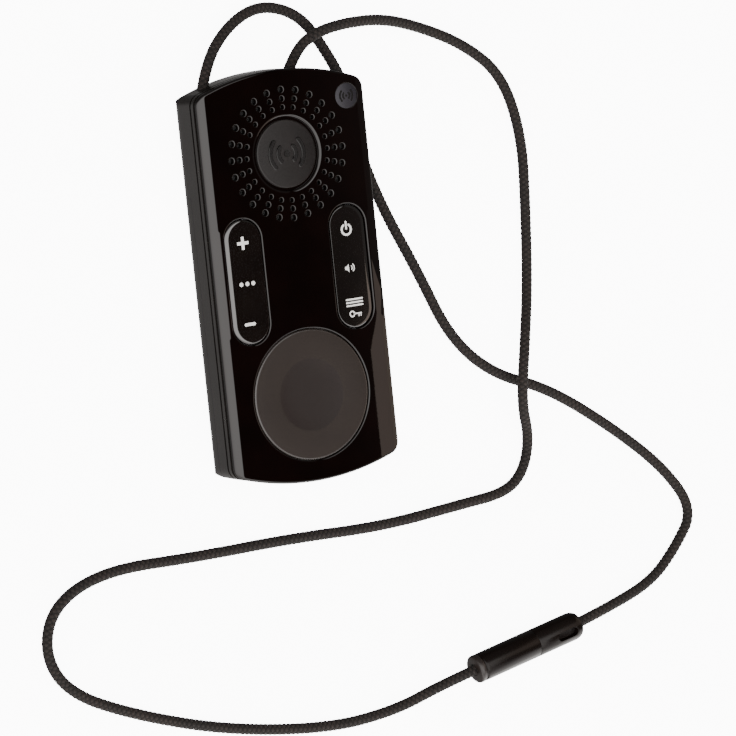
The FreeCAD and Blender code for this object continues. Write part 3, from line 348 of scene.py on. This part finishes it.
def cloth_material():
    """Fine black acoustic cloth, woven at 0.25 mm."""
    nodes = Nodes("cloth_black")
    where = nodes.place()
    waves = []
    for direction in ("X", "Y"):
        wave = nodes.new("ShaderNodeTexWave", Scale=2000.0 / TAU * 2)
        wave.bands_direction = direction
        nodes.join(where, wave.inputs["Vector"])
        waves.append(wave.outputs["Fac"])
    weave = nodes.maths("MULTIPLY", *waves)
    nodes.join(nodes.colours(weave, (0.004, 0.004, 0.004), (0.022, 0.020, 0.019), 0.1, 0.8),
               nodes.shader.inputs["Base Color"])
    nodes.shader.inputs["Roughness"].default_value = 0.9
    nodes.shader.inputs["Sheen Weight"].default_value = 0.2
    nodes.bump(weave, 0.04)
    return nodes.material


def braid_material():
    """Round-braided cord. UV runs along the cord and round it, in strand crossings. Its colour has
    painted shade, darker between the strands and lighter on the crossings.
    """
    nodes = Nodes("cord_braid")
    split = nodes.new("ShaderNodeSeparateXYZ")
    nodes.join(nodes.place("UV"), split.inputs["Vector"])
    along, round_ = split.outputs["X"], split.outputs["Y"]
    waves = []
    for way in ("ADD", "SUBTRACT"):
        phase = nodes.maths("MULTIPLY", nodes.maths(way, along, round_), math.pi)
        waves.append(nodes.maths("COSINE", phase))
    knuckle = nodes.maths("ABSOLUTE", nodes.maths("MULTIPLY", *waves))
    patches = nodes.noise(5.0, 2)
    fuzz = nodes.noise(0.12, 2)
    base = nodes.colours(patches, (0.012, 0.0096, 0.0086), (0.017, 0.0122, 0.0106))
    # Painted shade: the colour is darkened in the hollows between strands and lightened on the
    # crossings.
    painted_braid_shade = nodes.spread(knuckle, 0.35, 1.35, 0.05, 0.7)
    mix = nodes.new("ShaderNodeMix", data_type="RGBA", blend_type="MULTIPLY")
    mix.inputs["Factor"].default_value = 1.0
    nodes.join(base, mix.inputs["A"])
    nodes.join(painted_braid_shade, mix.inputs["B"])
    nodes.join(mix.outputs["Result"], nodes.shader.inputs["Base Color"])
    nodes.shader.inputs["Roughness"].default_value = 0.78
    nodes.shader.inputs["Specular IOR Level"].default_value = 0.25
    nodes.shader.inputs["Sheen Weight"].default_value = 0.06
    nodes.bump(knuckle, 0.10)
    nodes.bump(fuzz, 0.03)
    return nodes.material


def centre_of(node):
    low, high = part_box(node)
    return (low + high) / 2 / MM


DISH, GLOSS_RIM = 8.4, 14.67     # distances from the talk button's centre
talk, grille, roundel = centre_of("talk_button"), centre_of("badge_disc"), centre_of("emblem_disc")
left_key, right_key = centre_of("left_key_bar"), centre_of("right_key_bar")
soft_touch = soft_material(talk.x, talk.y, DISH, GLOSS_RIM)
cloth = cloth_material()
braid = braid_material()

NODE_FINISHES = {
    "front_housing": dark_plastic, "trim_band": band_plastic, "rear_housing": side_plastic,
    "battery_door": side_plastic, "badge_disc": badge_plastic, "emblem_disc": emblem_paint,
    "talk_return_dome": rubber, "talk_switch": spring_steel, "left_key_boss": rubber,
    "right_key_boss": rubber, "left_keymat": rubber, "right_keymat": rubber,
    "key_domes": spring_steel, "main_board": board, "shield_can": tinned,
    "processor_chip": chip, "speaker_basket": tinned, "speaker_magnet": magnet,
    "speaker_cone": cone_film, "speaker_gasket": rubber, "speaker_cloth": cloth,
    "display_module": display, "microphone": tinned, "microphone_boot": rubber,
    "vibration_motor": tinned, "motor_weight": tinned, "antenna_carrier": dark_plastic,
    "antenna": gold, "usb_socket": tinned, "port_plug": plug_rubber,
    "battery_pack": battery_wrap, "battery_contacts": gold, "case_screws": spring_steel,
    "left_cord_stop": fitting, "right_cord_stop": fitting, "clasp_collar": clasp_plastic,
    "clasp_socket": clasp_plastic, "clasp_plug": clasp_plastic, "clasp_cord_stop": fitting,
    "front_panel": gloss_panel, "talk_button": soft_touch, "left_key_bar": key_gloss,
    "right_key_bar": key_gloss, "left_lanyard_cord": braid, "right_lanyard_cord": braid,
}
for node, material in NODE_FINISHES.items():
    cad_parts[node].data.materials.clear()
    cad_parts[node].data.materials.append(material)


# --- camera and cords ---------------------------------------------------------------------------

def aim_camera():
    """A long lens almost along the view's own axis, which misses the picture's centre a little."""
    back = Vector((-0.4978, 0.0876, 0.8629)).normalized()
    right = Vector((0.8571, -0.1028, 0.5049))
    up = Vector((0.1329, 0.9908, -0.0239))
    back = (back - 0.0157 * right + 0.02215 * up).normalized()
    right = (right - back * right.dot(back)).normalized()
    up = back.cross(right)
    lens = bpy.data.cameras.new("camera")
    lens.lens, lens.sensor_width = 214.0, 36.0
    lens.clip_start, lens.clip_end = 0.05, 20.0
    camera = bpy.data.objects.new("camera", lens)
    camera.matrix_world = Matrix((
        (right.x, up.x, back.x, -0.4978), (right.y, up.y, back.y, 0.0883),
        (right.z, up.z, back.z, 0.8757), (0, 0, 0, 1)))
    scene.collection.objects.link(camera)
    scene.camera = camera


aim_camera()

LEFT_CORD = (
    (-16.9, 42.4, 5.8), (-14.8, 50.2, 5.8), (-6.5, 58.1, 3.4), (3.5, 61.7, 1.25),
    (13.3, 58.6, 1.25), (19.2, 50.4, 1.25), (24.3, 40.0, 1.25), (25.8, 25.5, 1.25),
    (30.8, 11.0, 1.25), (38.6, -4.9, 1.25), (45.5, -21.3, 1.25), (56.4, -31.8, 1.25),
    (71.7, -37.5, 1.25), (89.1, -49.7, 1.25), (103.2, -61.9, 1.25), (110.7, -73.5, 1.25),
    (104.3, -81.8, 1.25), (96.7, -88.6, 1.25), (83.7, -92.1, 3.45), (71.33, -95.11, 3.45),
)
RIGHT_CORD = (
    (5.6, 44.3, 5.8), (9.0, 50.6, 5.8), (14.5, 54.1, 6.8), (22.6, 55.4, 6.8),
    (34.4, 55.2, 3.6), (45.7, 52.2, 1.25), (57.5, 46.8, 1.25), (67.4, 38.5, 1.25),
    (71.4, 23.5, 1.25), (70.4, 5.5, 1.25), (68.8, -12.5, 1.25), (62.8, -26.0, 6.8),
    (60.4, -39.0, 6.8), (65.1, -48.6, 1.25), (62.5, -56.4, 1.25), (56.8, -60.6, 1.25),
    (44.0, -61.4, 1.25), (22.0, -63.0, 1.25), (-3.0, -61.8, 1.25), (-28.0, -61.9, 1.25),
    (-52.0, -61.0, 1.25), (-65.7, -66.5, 1.25), (-69.5, -77.0, 1.25), (-64.5, -87.0, 1.25),
    (-48.5, -95.0, 1.25), (-25.0, -103.0, 1.25), (2.0, -107.7, 1.25), (20.5, -106.8, 1.25),
    (32.46, -102.67, 3.45), (45.22, -100.19, 3.45),
)
CORD_RADIUS = 1.25
CROSSINGS_ROUND = 8          # strand crossings round the cord
CROSSING_PITCH = 0.62        # millimetres along the cord from one crossing to the next
KNUCKLE = 0.12               # how far the crossings stand out
SIDES_ROUND, ROW_STEP = 32, 0.3


def smooth_line(points):
    """Points read from the NURBS spline that has the route's points as its control points."""
    curve = bpy.data.curves.new("route", "CURVE")
    curve.dimensions = "3D"
    curve.resolution_u = 24
    spline = curve.splines.new("NURBS")
    spline.points.add(len(points) - 1)
    for place, point in zip(spline.points, points):
        place.co = (*(c * MM for c in point), 1.0)
    spline.order_u = 3
    spline.use_endpoint_u = True
    holder = bpy.data.objects.new("route", curve)
    scene.collection.objects.link(holder)
    mesh = bpy.data.meshes.new_from_object(holder)
    line = [v.co.copy() for v in mesh.vertices]
    bpy.data.objects.remove(holder)
    bpy.data.curves.remove(curve)
    bpy.data.meshes.remove(mesh)
    return line


def even_line(line, step):
    """The same line with points an even distance apart."""
    lengths = [0.0]
    for a, b in zip(line, line[1:]):
        lengths.append(lengths[-1] + (b - a).length)
    count = round(lengths[-1] / step)
    found, k = [], 0
    for i in range(count + 1):
        want = lengths[-1] * i / count
        while k < len(line) - 2 and lengths[k + 1] < want:
            k += 1
        part = (want - lengths[k]) / max(lengths[k + 1] - lengths[k], 1e-12)
        found.append(line[k].lerp(line[k + 1], min(max(part, 0), 1)))
    return found, lengths[-1]


def braided_cord(name, points, node):
    """A tube along the route whose surface has the braid's crossings on it."""
    line, length = even_line(smooth_line(points), ROW_STEP * MM)
    verts, faces, uvs = [], [], []
    tangent = (line[1] - line[0]).normalized()
    side = tangent.cross(Vector((0, 0, 1))).normalized()
    step = length / (len(line) - 1) / MM
    for k, point in enumerate(line):
        ahead = line[min(k + 1, len(line) - 1)] - line[max(k - 1, 0)]
        ahead.normalize()
        side = (side - ahead * side.dot(ahead)).normalized()
        lift = ahead.cross(side)
        u = k * step / CROSSING_PITCH
        for j in range(SIDES_ROUND):
            a = TAU * j / SIDES_ROUND
            v = CROSSINGS_ROUND * j / SIDES_ROUND
            knuckle = abs(math.cos(math.pi * (u + v) / 2) * math.cos(math.pi * (u - v) / 2))
            radius = (CORD_RADIUS - KNUCKLE / 2 + KNUCKLE * min(knuckle * 1.5, 1.0)) * MM
            verts.append(point + (side * math.cos(a) + lift * math.sin(a)) * radius)
    rows = len(line)
    for k in range(rows - 1):
        for j in range(SIDES_ROUND):
            n = (j + 1) % SIDES_ROUND
            row, next_row = k * SIDES_ROUND, (k + 1) * SIDES_ROUND
            faces.append((row + j, row + n, next_row + n, next_row + j))
            u0, u1 = (spot * step / CROSSING_PITCH / 2 for spot in (k, k + 1))
            v0, v1 = (CROSSINGS_ROUND * spot / SIDES_ROUND / 2 for spot in (j, j + 1))
            uvs.extend(((u0, v0), (u0, v1), (u1, v1), (u1, v0)))
    for start, order in ((0, 1), ((rows - 1) * SIDES_ROUND, -1)):
        faces.append(tuple(range(start, start + SIDES_ROUND))[::-order])
        uvs.extend([(0.5, 0.5)] * SIDES_ROUND)
    mesh = bpy.data.meshes.new(name)
    mesh.from_pydata(verts, [], faces)
    layer = mesh.uv_layers.new(name="braid")
    layer.data.foreach_set("uv", [c for uv in uvs for c in uv])
    piece = finish_piece(name, mesh, braid, "case", (node,), 60)
    return piece, line, length


left_cord, left_line, left_length = braided_cord(
    "left_cord_braid", LEFT_CORD, "left_lanyard_cord")
right_cord, right_line, right_length = braided_cord(
    "right_cord_braid", RIGHT_CORD, "right_lanyard_cord")
tuple(left_line[0])
[tuple(p) for p in left_line]
tuple(right_line[0])
[tuple(p) for p in right_line]


# --- case and controls ----------------------------------------------------------------------------

TOP = 12.8
SUPPORT = 0.06               # a narrow flat strip beside each rounding keeps the shading clean
RIM = {"talk": (0.30, 0.35), "key": (0.26, 0.30), "badge": (0.60, 0.50), "emblem": (0.10, 0.08),
       "dimple": (0.20, 0.32)}
KEY_WIDTH, KEY_LENGTH, KEY_GAP = 9.4, 28.6, 0.2
CONTROL_TOP, KEY_LOW = 12.75, 11.35      # the controls stand just under the face
TALK_RADIUS, TALK_HOLE_RADIUS, TALK_EDGE = 15.1, 15.22, (0.4, 0.45)
FLANGE_RADIUS, FLANGE_LOW, FLANGE_TOP = 16.2, 10.95, 11.55
DOME_HOLLOW_RADIUS, DOME_HOLLOW_TOP = 4.2, 11.8
DISH_DEPTH, DISH_START = 0.28, 0.02
BADGE_RADIUS, BADGE_HOLE_RADIUS, BADGE_RIM_Z, BADGE_CROWN = 7.85, 8.45, 12.62, 0.13
BADGE_FLOOR, EMBLEM_FLOOR = 12.2, 12.5
EMBLEM_RADIUS, EMBLEM_HOLE_RADIUS = 2.9, 2.93
DIMPLES_ROUND = 24
DIMPLE_ROWS = ((10.65, 0.45), (12.6, 0.55), (14.67, 0.65))   # distance out, dimple radius


def make_panel():
    """Gloss face: an elliptical edge all round, and a small rounding into each opening."""
    shape = Shape()
    floor = 11.6
    edge_width, end_width, edge_height = 2.1, 0.55, 0.75
    levels = [case_outline(edge_width + SUPPORT, TOP, FLARE, end_width + SUPPORT, 0.5)]
    for inset, drop in quarter(edge_width, edge_height, 14):
        part = inset / edge_width
        levels.append(case_outline(inset, TOP - drop, FLARE * part, end_width * part,
                                   CORNER - 2.45 * part))
    levels += [case_outline(0, floor + 0.12), case_outline(0.12, floor)]
    shape.loft(levels)
    through, top_holes = [], []

    def opening(loop_at, inside, kind, low, closed=False):
        """One hole, whose outline grown by extra is loop_at(extra, z). Closed, it has a floor."""
        width, height = RIM[kind]
        loops = [loop_at(width + SUPPORT, TOP)]
        loops += [loop_at(inset, TOP - drop) for inset, drop in quarter(width, height, 6)]
        loops.append(loop_at(0, low))
        shape.loft(loops, end_cap=closed)
        top_holes.append((loop_at(width + SUPPORT, TOP), inside(width + SUPPORT)))
        if not closed:
            through.append((loop_at(0, floor), inside(0)))

    def round_hole(x, y, radius, kind, count, low=floor, closed=False):
        opening(lambda extra, z: ring(x, y, radius + extra, z, count),
                lambda extra: lambda a, b: math.hypot(a - x, b - y) < radius + extra,
                kind, low, closed)

    def slot_hole(x, y, width, length, kind):
        def inside(extra):
            radius, half = width / 2 + extra, (length - width) / 2
            return lambda a, b: math.hypot(a - x, b - y - min(max(b - y, -half), half)) < radius

        opening(lambda extra, z: stadium(x, y, width + 2 * extra, length + 2 * extra, z),
                inside, kind, floor)

    round_hole(talk.x, talk.y, TALK_HOLE_RADIUS, "talk", 144)
    for key in (left_key, right_key):
        slot_hole(key.x, key.y, KEY_WIDTH + 2 * KEY_GAP, KEY_LENGTH + 2 * KEY_GAP, "key")
    round_hole(grille.x, grille.y, BADGE_HOLE_RADIUS, "badge", 96, BADGE_FLOOR, True)
    round_hole(roundel.x, roundel.y, EMBLEM_HOLE_RADIUS, "emblem", 48, EMBLEM_FLOOR, True)
    for row, hole in DIMPLE_ROWS:
        for i in range(DIMPLES_ROUND):
            a = TAU * i / DIMPLES_ROUND + math.pi / 2
            round_hole(grille.x + row * math.cos(a), grille.y + row * math.sin(a), hole,
                       "dimple", 20)
    fill_between(shape, levels[0], top_holes, TOP)
    fill_between(shape, case_outline(0.12, floor), through, floor, up=False)
    return shape.build("face_panel", gloss_panel, "case", ("front_panel",))


def turned(shape, profile, count, x=0.0, y=0.0, capped=True):
    """A turned form from (radius, z) points, with flat caps on its two ends if it is capped."""
    shape.loft([ring(x, y, radius, z, count) for radius, z in profile], capped, capped)


def make_talk_button():
    """Dished cap with a rounded rim, over its flange, hollow where it meets the return dome."""
    shape = Shape()
    top, (edge_width, edge_height) = CONTROL_TOP, TALK_EDGE
    profile = [(DOME_HOLLOW_RADIUS, DOME_HOLLOW_TOP), (DOME_HOLLOW_RADIUS, FLANGE_LOW),
               (FLANGE_RADIUS, FLANGE_LOW), (FLANGE_RADIUS, FLANGE_TOP),
               (TALK_RADIUS, FLANGE_TOP), (TALK_RADIUS, top - edge_height)]
    profile += [(TALK_RADIUS - w, top - h)
                for w, h in reversed(quarter(edge_width, edge_height, 7)[:-1])]
    profile += [(11.8, top - 0.004), (DISH + 0.1, top - 0.012)]
    for i in range(17):
        part = 1 - i / 16
        depth = DISH_START + DISH_DEPTH * (1 - part ** 4)
        profile.append((max(DISH * part, 0.02), top - depth))
    turned(shape, profile, 144, talk.x, talk.y)
    return shape.build("talk_cap", soft_touch, "talk_button", ("talk_button",), 50)


def make_key(side, spot, outward):
    """A key bar: its outer side slopes off in a wide curve, its inner side has a small one."""
    shape = Shape()
    outer, inner, height = 1.0, 0.12, 0.5
    levels = [(0.0, KEY_LOW - CONTROL_TOP)]
    levels += [(part, -drop) for part, drop in reversed(quarter(1.0, height, 12))]
    levels.append((1.0 + SUPPORT, 0.0))
    loops = []
    for part, rise in levels:
        shift = outward * (inner - outer) * part / 2
        trim = (outer + inner) * part
        loops.append(stadium(spot.x + shift, spot.y, KEY_WIDTH - trim, KEY_LENGTH - trim,
                             CONTROL_TOP + rise))
    shape.loft(loops, start_cap=True, end_cap=True)
    return shape.build(side + "_key_cap", key_gloss, side + "_key_bar",
                       (side + "_key_bar",))


def make_badge():
    """Satin disc, a little crowned, with a narrow rounded edge."""
    shape = Shape()
    rim, radius, (edge_width, edge_height) = BADGE_RIM_Z, BADGE_RADIUS, (0.3, 0.25)
    profile = [(radius, BADGE_FLOOR), (radius, rim - edge_height)]
    profile += [(radius - w, rim - h)
                for w, h in reversed(quarter(edge_width, edge_height, 6)[:-1])]
    profile += [(radius * part, rim + BADGE_CROWN * (1 - (radius * part / 7.5) ** 2))
                for part in (0.94, 0.88, 0.8, 0.7, 0.6, 0.5, 0.4, 0.3, 0.2, 0.1, 0.003)]
    turned(shape, profile, 120, grille.x, grille.y)
    return shape.build("badge_cap", badge_plastic, "case", ("badge_disc",), 50)


def make_roundel():
    """Flat painted disc, level with the face."""
    shape = Shape()
    radius = EMBLEM_RADIUS
    profile = [(radius, EMBLEM_FLOOR), (radius, TOP - 0.04), (radius - 0.03, TOP - 0.01),
               (radius - 0.08, TOP), (0.02, TOP)]
    turned(shape, profile, 64, roundel.x, roundel.y)
    return shape.build("roundel_cap", emblem_paint, "case", ("emblem_disc",))


# --- signs --------------------------------------------------------------------------------------

def ribbon(path, width):
    """The outline of a stroke with round ends along a path of (x, y) points."""
    caps = 6
    path = [Vector(p) for p in path]
    left, right = [], []
    for i, spot in enumerate(path):
        ahead = (path[min(i + 1, len(path) - 1)] - path[max(i - 1, 0)]).normalized()
        across = Vector((-ahead.y, ahead.x)) * width / 2
        left.append(spot + across)
        right.append(spot - across)

    def cap(spot, start):
        turn = math.atan2((start - spot).y, (start - spot).x)
        angles = (turn - math.pi * i / caps for i in range(1, caps))
        return [spot + Vector((math.cos(a), math.sin(a))) * width / 2 for a in angles]

    return left + cap(path[-1], left[-1]) + right[::-1] + cap(path[0], right[0])


def arc_path(x, y, radius, start, end, count=28):
    """Points along an arc, with angles in degrees anticlockwise from +X."""
    return [(x + radius * math.cos(math.radians(start + (end - start) * i / count)),
             y + radius * math.sin(math.radians(start + (end - start) * i / count)))
            for i in range(count + 1)]


def raise_outlines(shape, outlines, low, high):
    for outline in outlines:
        shape.loft([[Vector((p[0], p[1], z)) for p in outline] for z in (low, high)],
                   start_cap=True, end_cap=True)


def plus(x, y, size, stroke):
    a, b = size / 2, stroke / 2
    corners = [(b, b), (b, a), (-b, a), (-b, b), (-a, b), (-a, -b), (-b, -b), (-b, -a), (b, -a),
               (b, -b), (a, -b), (a, b)]
    return [(x + p, y + q) for p, q in corners]


def dots(x, y, count, pitch, radius):
    return [[(x + (k - (count - 1) / 2) * pitch + radius * math.cos(TAU * i / 16),
              y + radius * math.sin(TAU * i / 16)) for i in range(16)] for k in range(count)]


def three_bars(x, y, width, stroke, pitch):
    return [ribbon([(x - width / 2, y + k * pitch), (x + width / 2, y + k * pitch)], stroke)
            for k in (-1, 0, 1)]


def loudspeaker(x, y, size):
    """A small cone with two arcs to its right."""
    cone = [(-0.50, -0.18), (-0.30, -0.18), (-0.02, -0.46), (-0.02, 0.46), (-0.30, 0.18),
            (-0.50, 0.18)]
    found = [[(x + size * (p - 0.25), y + size * q) for p, q in cone]]
    for radius in (0.26, 0.52):
        found.append(ribbon(arc_path(x - size * 0.12, y, size * radius, -44, 44, 14), size * 0.13))
    return found


def make_signs():
    """White signs printed on the key bars. Plain signs stand where words would be."""
    low, high = CONTROL_TOP - 0.005, CONTROL_TOP + 0.015
    x = left_key.x
    left = Shape()
    raise_outlines(left, [plus(x - 0.05, 8.92, 2.95, 0.72),
                          ribbon([(x - 1.4, -9.6), (x + 0.85, -9.6)], 0.72)]
                   + dots(x + 0.05, -0.4, 3, 1.55, 0.5), low, high)
    left.build("left_key_signs", print_white, "left_key_bar")
    x = right_key.x
    right = Shape()
    outlines = [ribbon(arc_path(x - 0.35, 8.55, 1.22, 124, 416), 0.5),
                ribbon([(x - 0.35, 8.75), (x - 0.35, 10.3)], 0.48)]
    outlines += loudspeaker(x - 0.1, -0.35, 2.1) + three_bars(x - 0.1, -8.35, 4.2, 0.38, 0.72)
    outlines += [ribbon(arc_path(x - 1.0, -11.0, 0.60, 0, 350), 0.32),
                 ribbon([(x - 0.3, -11.0), (x + 1.4, -11.0)], 0.32),
                 ribbon([(x + 0.75, -11.2), (x + 0.75, -11.6)], 0.28),
                 ribbon([(x + 1.3, -11.2), (x + 1.3, -11.6)], 0.28)]
    raise_outlines(right, outlines, low, high)
    right.build("right_key_signs", print_white, "right_key_bar")


def wave_outlines(x, y, size, stroke):
    """A dot with two arcs on each side of it."""
    found = dots(x, y, 1, 1.0, size * 0.17)
    for radius in (0.5, 0.95):
        for turn in (0, 180):
            found.append(ribbon(arc_path(x, y, size * radius, turn - 42, turn + 42, 18), stroke))
    return found


def make_marks():
    """Raised waves on the badge, with sloping sides, and the same sign printed on the emblem."""
    badge = Shape()
    for outline, inner in zip(wave_outlines(grille.x, grille.y, 4.6, 1.1),
                              wave_outlines(grille.x, grille.y, 4.6, 0.8)):
        badge.loft([[Vector((p[0], p[1], z)) for p in loop]
                    for loop, z in ((outline, 12.55), (outline, 12.84), (inner, 13.0))],
                   start_cap=True, end_cap=True)
    badge.build("badge_relief", relief_plastic, "case")
    sign = Shape()
    raise_outlines(sign, wave_outlines(roundel.x, roundel.y, 1.75, 0.5), TOP - 0.005, TOP + 0.004)
    sign.build("roundel_sign", relief_plastic, "case")


make_panel()
make_talk_button()
make_key("left", left_key, -1)
make_key("right", right_key, 1)
make_badge()
make_roundel()
make_signs()
make_marks()


# --- clasp --------------------------------------------------------------------------------------

CLASP_ANGLE = math.radians(11.0)
CLASP_RADIUS = 3.45
CLASP_CENTRE = Vector((57.0, -97.9, CLASP_RADIUS))
CLASP_TURN = (Matrix.Translation(CLASP_CENTRE * MM) @ Matrix.Rotation(CLASP_ANGLE, 4, "Z")
              @ Matrix.Rotation(math.pi / 2, 4, "Y"))
CLASP_SIDES = 72
COLLAR_START, COLLAR_END, COLLAR_BORE = -15.5, -13.9, 1.45     # along the clasp's axis
CLASP_SEAM, NOSE_START, NOSE_WIDTH, NOSE_LENGTH = 2.2, 13.2, 1.25, 2.3
WINDOW_TILT = math.radians(9)
WINDOW_WIDTH, WINDOW_LENGTH, WINDOW_PLACE, WINDOW_FLOOR = 2.2, 5.8, 10.4, 1.75


def modified(shape, name, cutters, bevel):
    """The shape as a mesh with the cutters taken out of it and its edges rounded."""
    def holder(label, source):
        made = bpy.data.objects.new(label, source.mesh(label))
        scene.collection.objects.link(made)
        return made

    body = holder(name, shape)
    others = [holder(name + "_cutter", cutter) for cutter in cutters]
    for other in others:
        step = body.modifiers.new("cut", "BOOLEAN")
        step.operation, step.solver, step.object = "DIFFERENCE", "EXACT", other
    step = body.modifiers.new("round", "BEVEL")
    step.width, step.segments, step.limit_method = bevel * MM, 3, "ANGLE"
    step.angle_limit = math.radians(35)
    bpy.context.view_layer.update()
    mesh = bpy.data.meshes.new_from_object(
        body.evaluated_get(bpy.context.evaluated_depsgraph_get()))
    for other in others + [body]:
        bpy.data.objects.remove(other)
    return mesh


def make_clasp():
    """Collar, socket half and plug half, each turned about the clasp's axis."""
    radius, bore = CLASP_RADIUS, COLLAR_BORE
    collar = Shape()
    turned(collar, [(bore, COLLAR_START), (2.5, COLLAR_START), (3.05, -15.4), (3.36, -15.1),
                    (radius, -14.8),
                    (radius, -14.15), (3.38, -13.98), (3.25, COLLAR_END), (bore, COLLAR_END)],
           CLASP_SIDES, capped=False)
    collar.loft([ring(0, 0, bore, z, CLASP_SIDES) for z in (COLLAR_END, COLLAR_START)])
    collar.build("clasp_end_ring", collar_plastic, "case", ("clasp_collar",),
                 turn=CLASP_TURN)
    socket = Shape()
    turned(socket, [(2.0, COLLAR_END), (3.2, COLLAR_END), (3.2, -13.65), (3.34, -13.5),
                    (3.42, -13.35), (radius, -13.1), (radius, 1.98), (3.4, 2.14),
                    (3.26, CLASP_SEAM), (1.8, CLASP_SEAM)], CLASP_SIDES)
    socket.build("clasp_socket_shell", clasp_plastic, "case", ("clasp_socket",),
                 turn=CLASP_TURN)
    plug = Shape()
    profile = [(1.62, -3.6), (1.62, CLASP_SEAM), (3.26, CLASP_SEAM), (3.4, 2.26),
               (radius, 2.42), (radius, NOSE_START)]
    for i in range(1, 9):
        a = 0.5 * math.pi * i / 8
        profile.append((radius - NOSE_WIDTH + NOSE_WIDTH * math.cos(a),
                        NOSE_START + NOSE_LENGTH * math.sin(a)))
    turned(plug, profile, CLASP_SIDES)
    cutter = Shape()
    outward = Vector((-math.cos(WINDOW_TILT), -math.sin(WINDOW_TILT), 0))
    across = Vector((-math.sin(WINDOW_TILT), math.cos(WINDOW_TILT), 0))
    loops = []
    for depth in (WINDOW_FLOOR, 6.0):
        loops.append([outward * depth + across * p.x + Vector((0, 0, WINDOW_PLACE + p.y))
                      for p in stadium(0, 0, WINDOW_WIDTH, WINDOW_LENGTH, 0, 16, 4)])
    cutter.loft(loops, start_cap=True, end_cap=True)
    mesh = modified(plug, "clasp_plug_shell", (cutter,), 0.16)
    mesh.transform(CLASP_TURN)
    finish_piece("clasp_plug_shell", mesh, clasp_plastic, "clasp_plug",
                 ("clasp_plug",), 30)


make_clasp()


# --- light and floor ------------------------------------------------------------------------------

FLOOR_REACH = 3.0            # metres from the origin
FLOOR_DROP = 0.08            # keeps the cord's knuckles from showing through
FLOOR_GLOW = 10.0
CARD_PLACE, CARD_GLOW = 135.0, 1.1
CARD_OUTLINE = ((-85, 2), (-85, 211), (-44.7, 211), (-36.5, 206.7), (-18, 198), (-18, 2))


def make_world():
    """A soft light tent: white on the left and in front, dark where the gloss face looks."""
    world = bpy.data.worlds.new("studio")
    scene.world = world
    world.use_nodes = True
    tree = world.node_tree

    def ramp(source, start, end, low, high):
        node = tree.nodes.new("ShaderNodeMapRange")
        for key, number in zip(RANGE_INPUTS, (start, end, low, high)):
            node.inputs[key].default_value = number
        tree.links.new(source, node.inputs["Value"])
        return node.outputs["Result"]

    def maths(operation, first, second):
        node = tree.nodes.new("ShaderNodeMath")
        node.operation = operation
        tree.links.new(first, node.inputs[0])
        tree.links.new(second, node.inputs[1])
        return node.outputs["Value"]

    split = tree.nodes.new("ShaderNodeSeparateXYZ")
    where = tree.nodes.new("ShaderNodeTexCoord").outputs["Generated"]
    tree.links.new(where, split.inputs["Vector"])
    x, y, z = (split.outputs[axis] for axis in "XYZ")
    left = maths("MULTIPLY", ramp(x, 0.455, 0.43, 0, 1), ramp(z, 0, 1, 1.7, 3.4))
    left = maths("MULTIPLY", left, ramp(y, 0.35, 0.55, 1, 0.12))
    left = maths("MULTIPLY", left, ramp(y, -0.70, -0.55, 0.35, 1))
    front = maths("MULTIPLY", ramp(y, -0.32, -0.42, 0, 1), ramp(z, 0.35, 0.6, 3.2, 1.2))
    above = maths("MAXIMUM", maths("MAXIMUM", left, front), ramp(x, 0.50, 0.53, 0.03, 0.15))
    above = maths("MULTIPLY", above, ramp(z, -0.02, 0, 0, 1))
    background = tree.nodes["Background"]
    background.inputs["Color"].default_value = (1.0, 0.975, 0.955, 1)
    low_front = maths("MULTIPLY", ramp(y, -0.35, -0.6, 0, 4), ramp(x, 0.2, 0.45, 0, 1))
    below = maths("MAXIMUM", ramp(y, 0.14, 0.34, 0.5, 0.14), low_front)
    below = maths("MULTIPLY", below, ramp(z, -0.02, 0, 1, 0))
    tree.links.new(maths("ADD", above, below), background.inputs["Strength"])


def make_card():
    """A small bright card to the right, low down, which shows along the face's lower right edge."""
    mesh = bpy.data.meshes.new("card")
    mesh.from_pydata([Vector((CARD_PLACE, y, z)) * MM for y, z in CARD_OUTLINE], [],
                     [tuple(range(len(CARD_OUTLINE)))])
    glow = bpy.data.materials.new("card_glow")
    glow.use_nodes = True
    shader = glow.node_tree.nodes["Principled BSDF"]
    shader.inputs["Base Color"].default_value = (0, 0, 0, 1)
    shader.inputs["Emission Color"].default_value = (1.0, 0.80, 0.68, 1)
    shader.inputs["Emission Strength"].default_value = CARD_GLOW
    mesh.materials.append(glow)
    card = bpy.data.objects.new("card", mesh)
    card.visible_camera = card.visible_diffuse = card.visible_shadow = False
    scene.collection.objects.link(card)


def make_floor():
    """Bright white paper for the camera. The object is lit from below by the tent itself."""
    paper = Nodes("floor_paper")
    paper.join(paper.colours(paper.noise(30.0, 2), (0.86, 0.86, 0.86), (0.90, 0.90, 0.90)),
               paper.shader.inputs["Base Color"])
    paper.shader.inputs["Roughness"].default_value = 0.9
    paper.shader.inputs["Emission Color"].default_value = (1, 1, 1, 1)
    paper.shader.inputs["Emission Strength"].default_value = FLOOR_GLOW
    mesh = bpy.data.meshes.new("floor")
    corners = ((-1, -1), (1, -1), (1, 1), (-1, 1))
    mesh.from_pydata([(FLOOR_REACH * x, FLOOR_REACH * y, 0) for x, y in corners], [],
                     [(0, 1, 2, 3)])
    mesh.materials.append(paper.material)
    sheet = bpy.data.objects.new("floor", mesh)
    sheet.location.z = -FLOOR_DROP * MM
    sheet.visible_diffuse = sheet.visible_glossy = False
    scene.collection.objects.link(sheet)


make_world()
make_card()
make_floor()
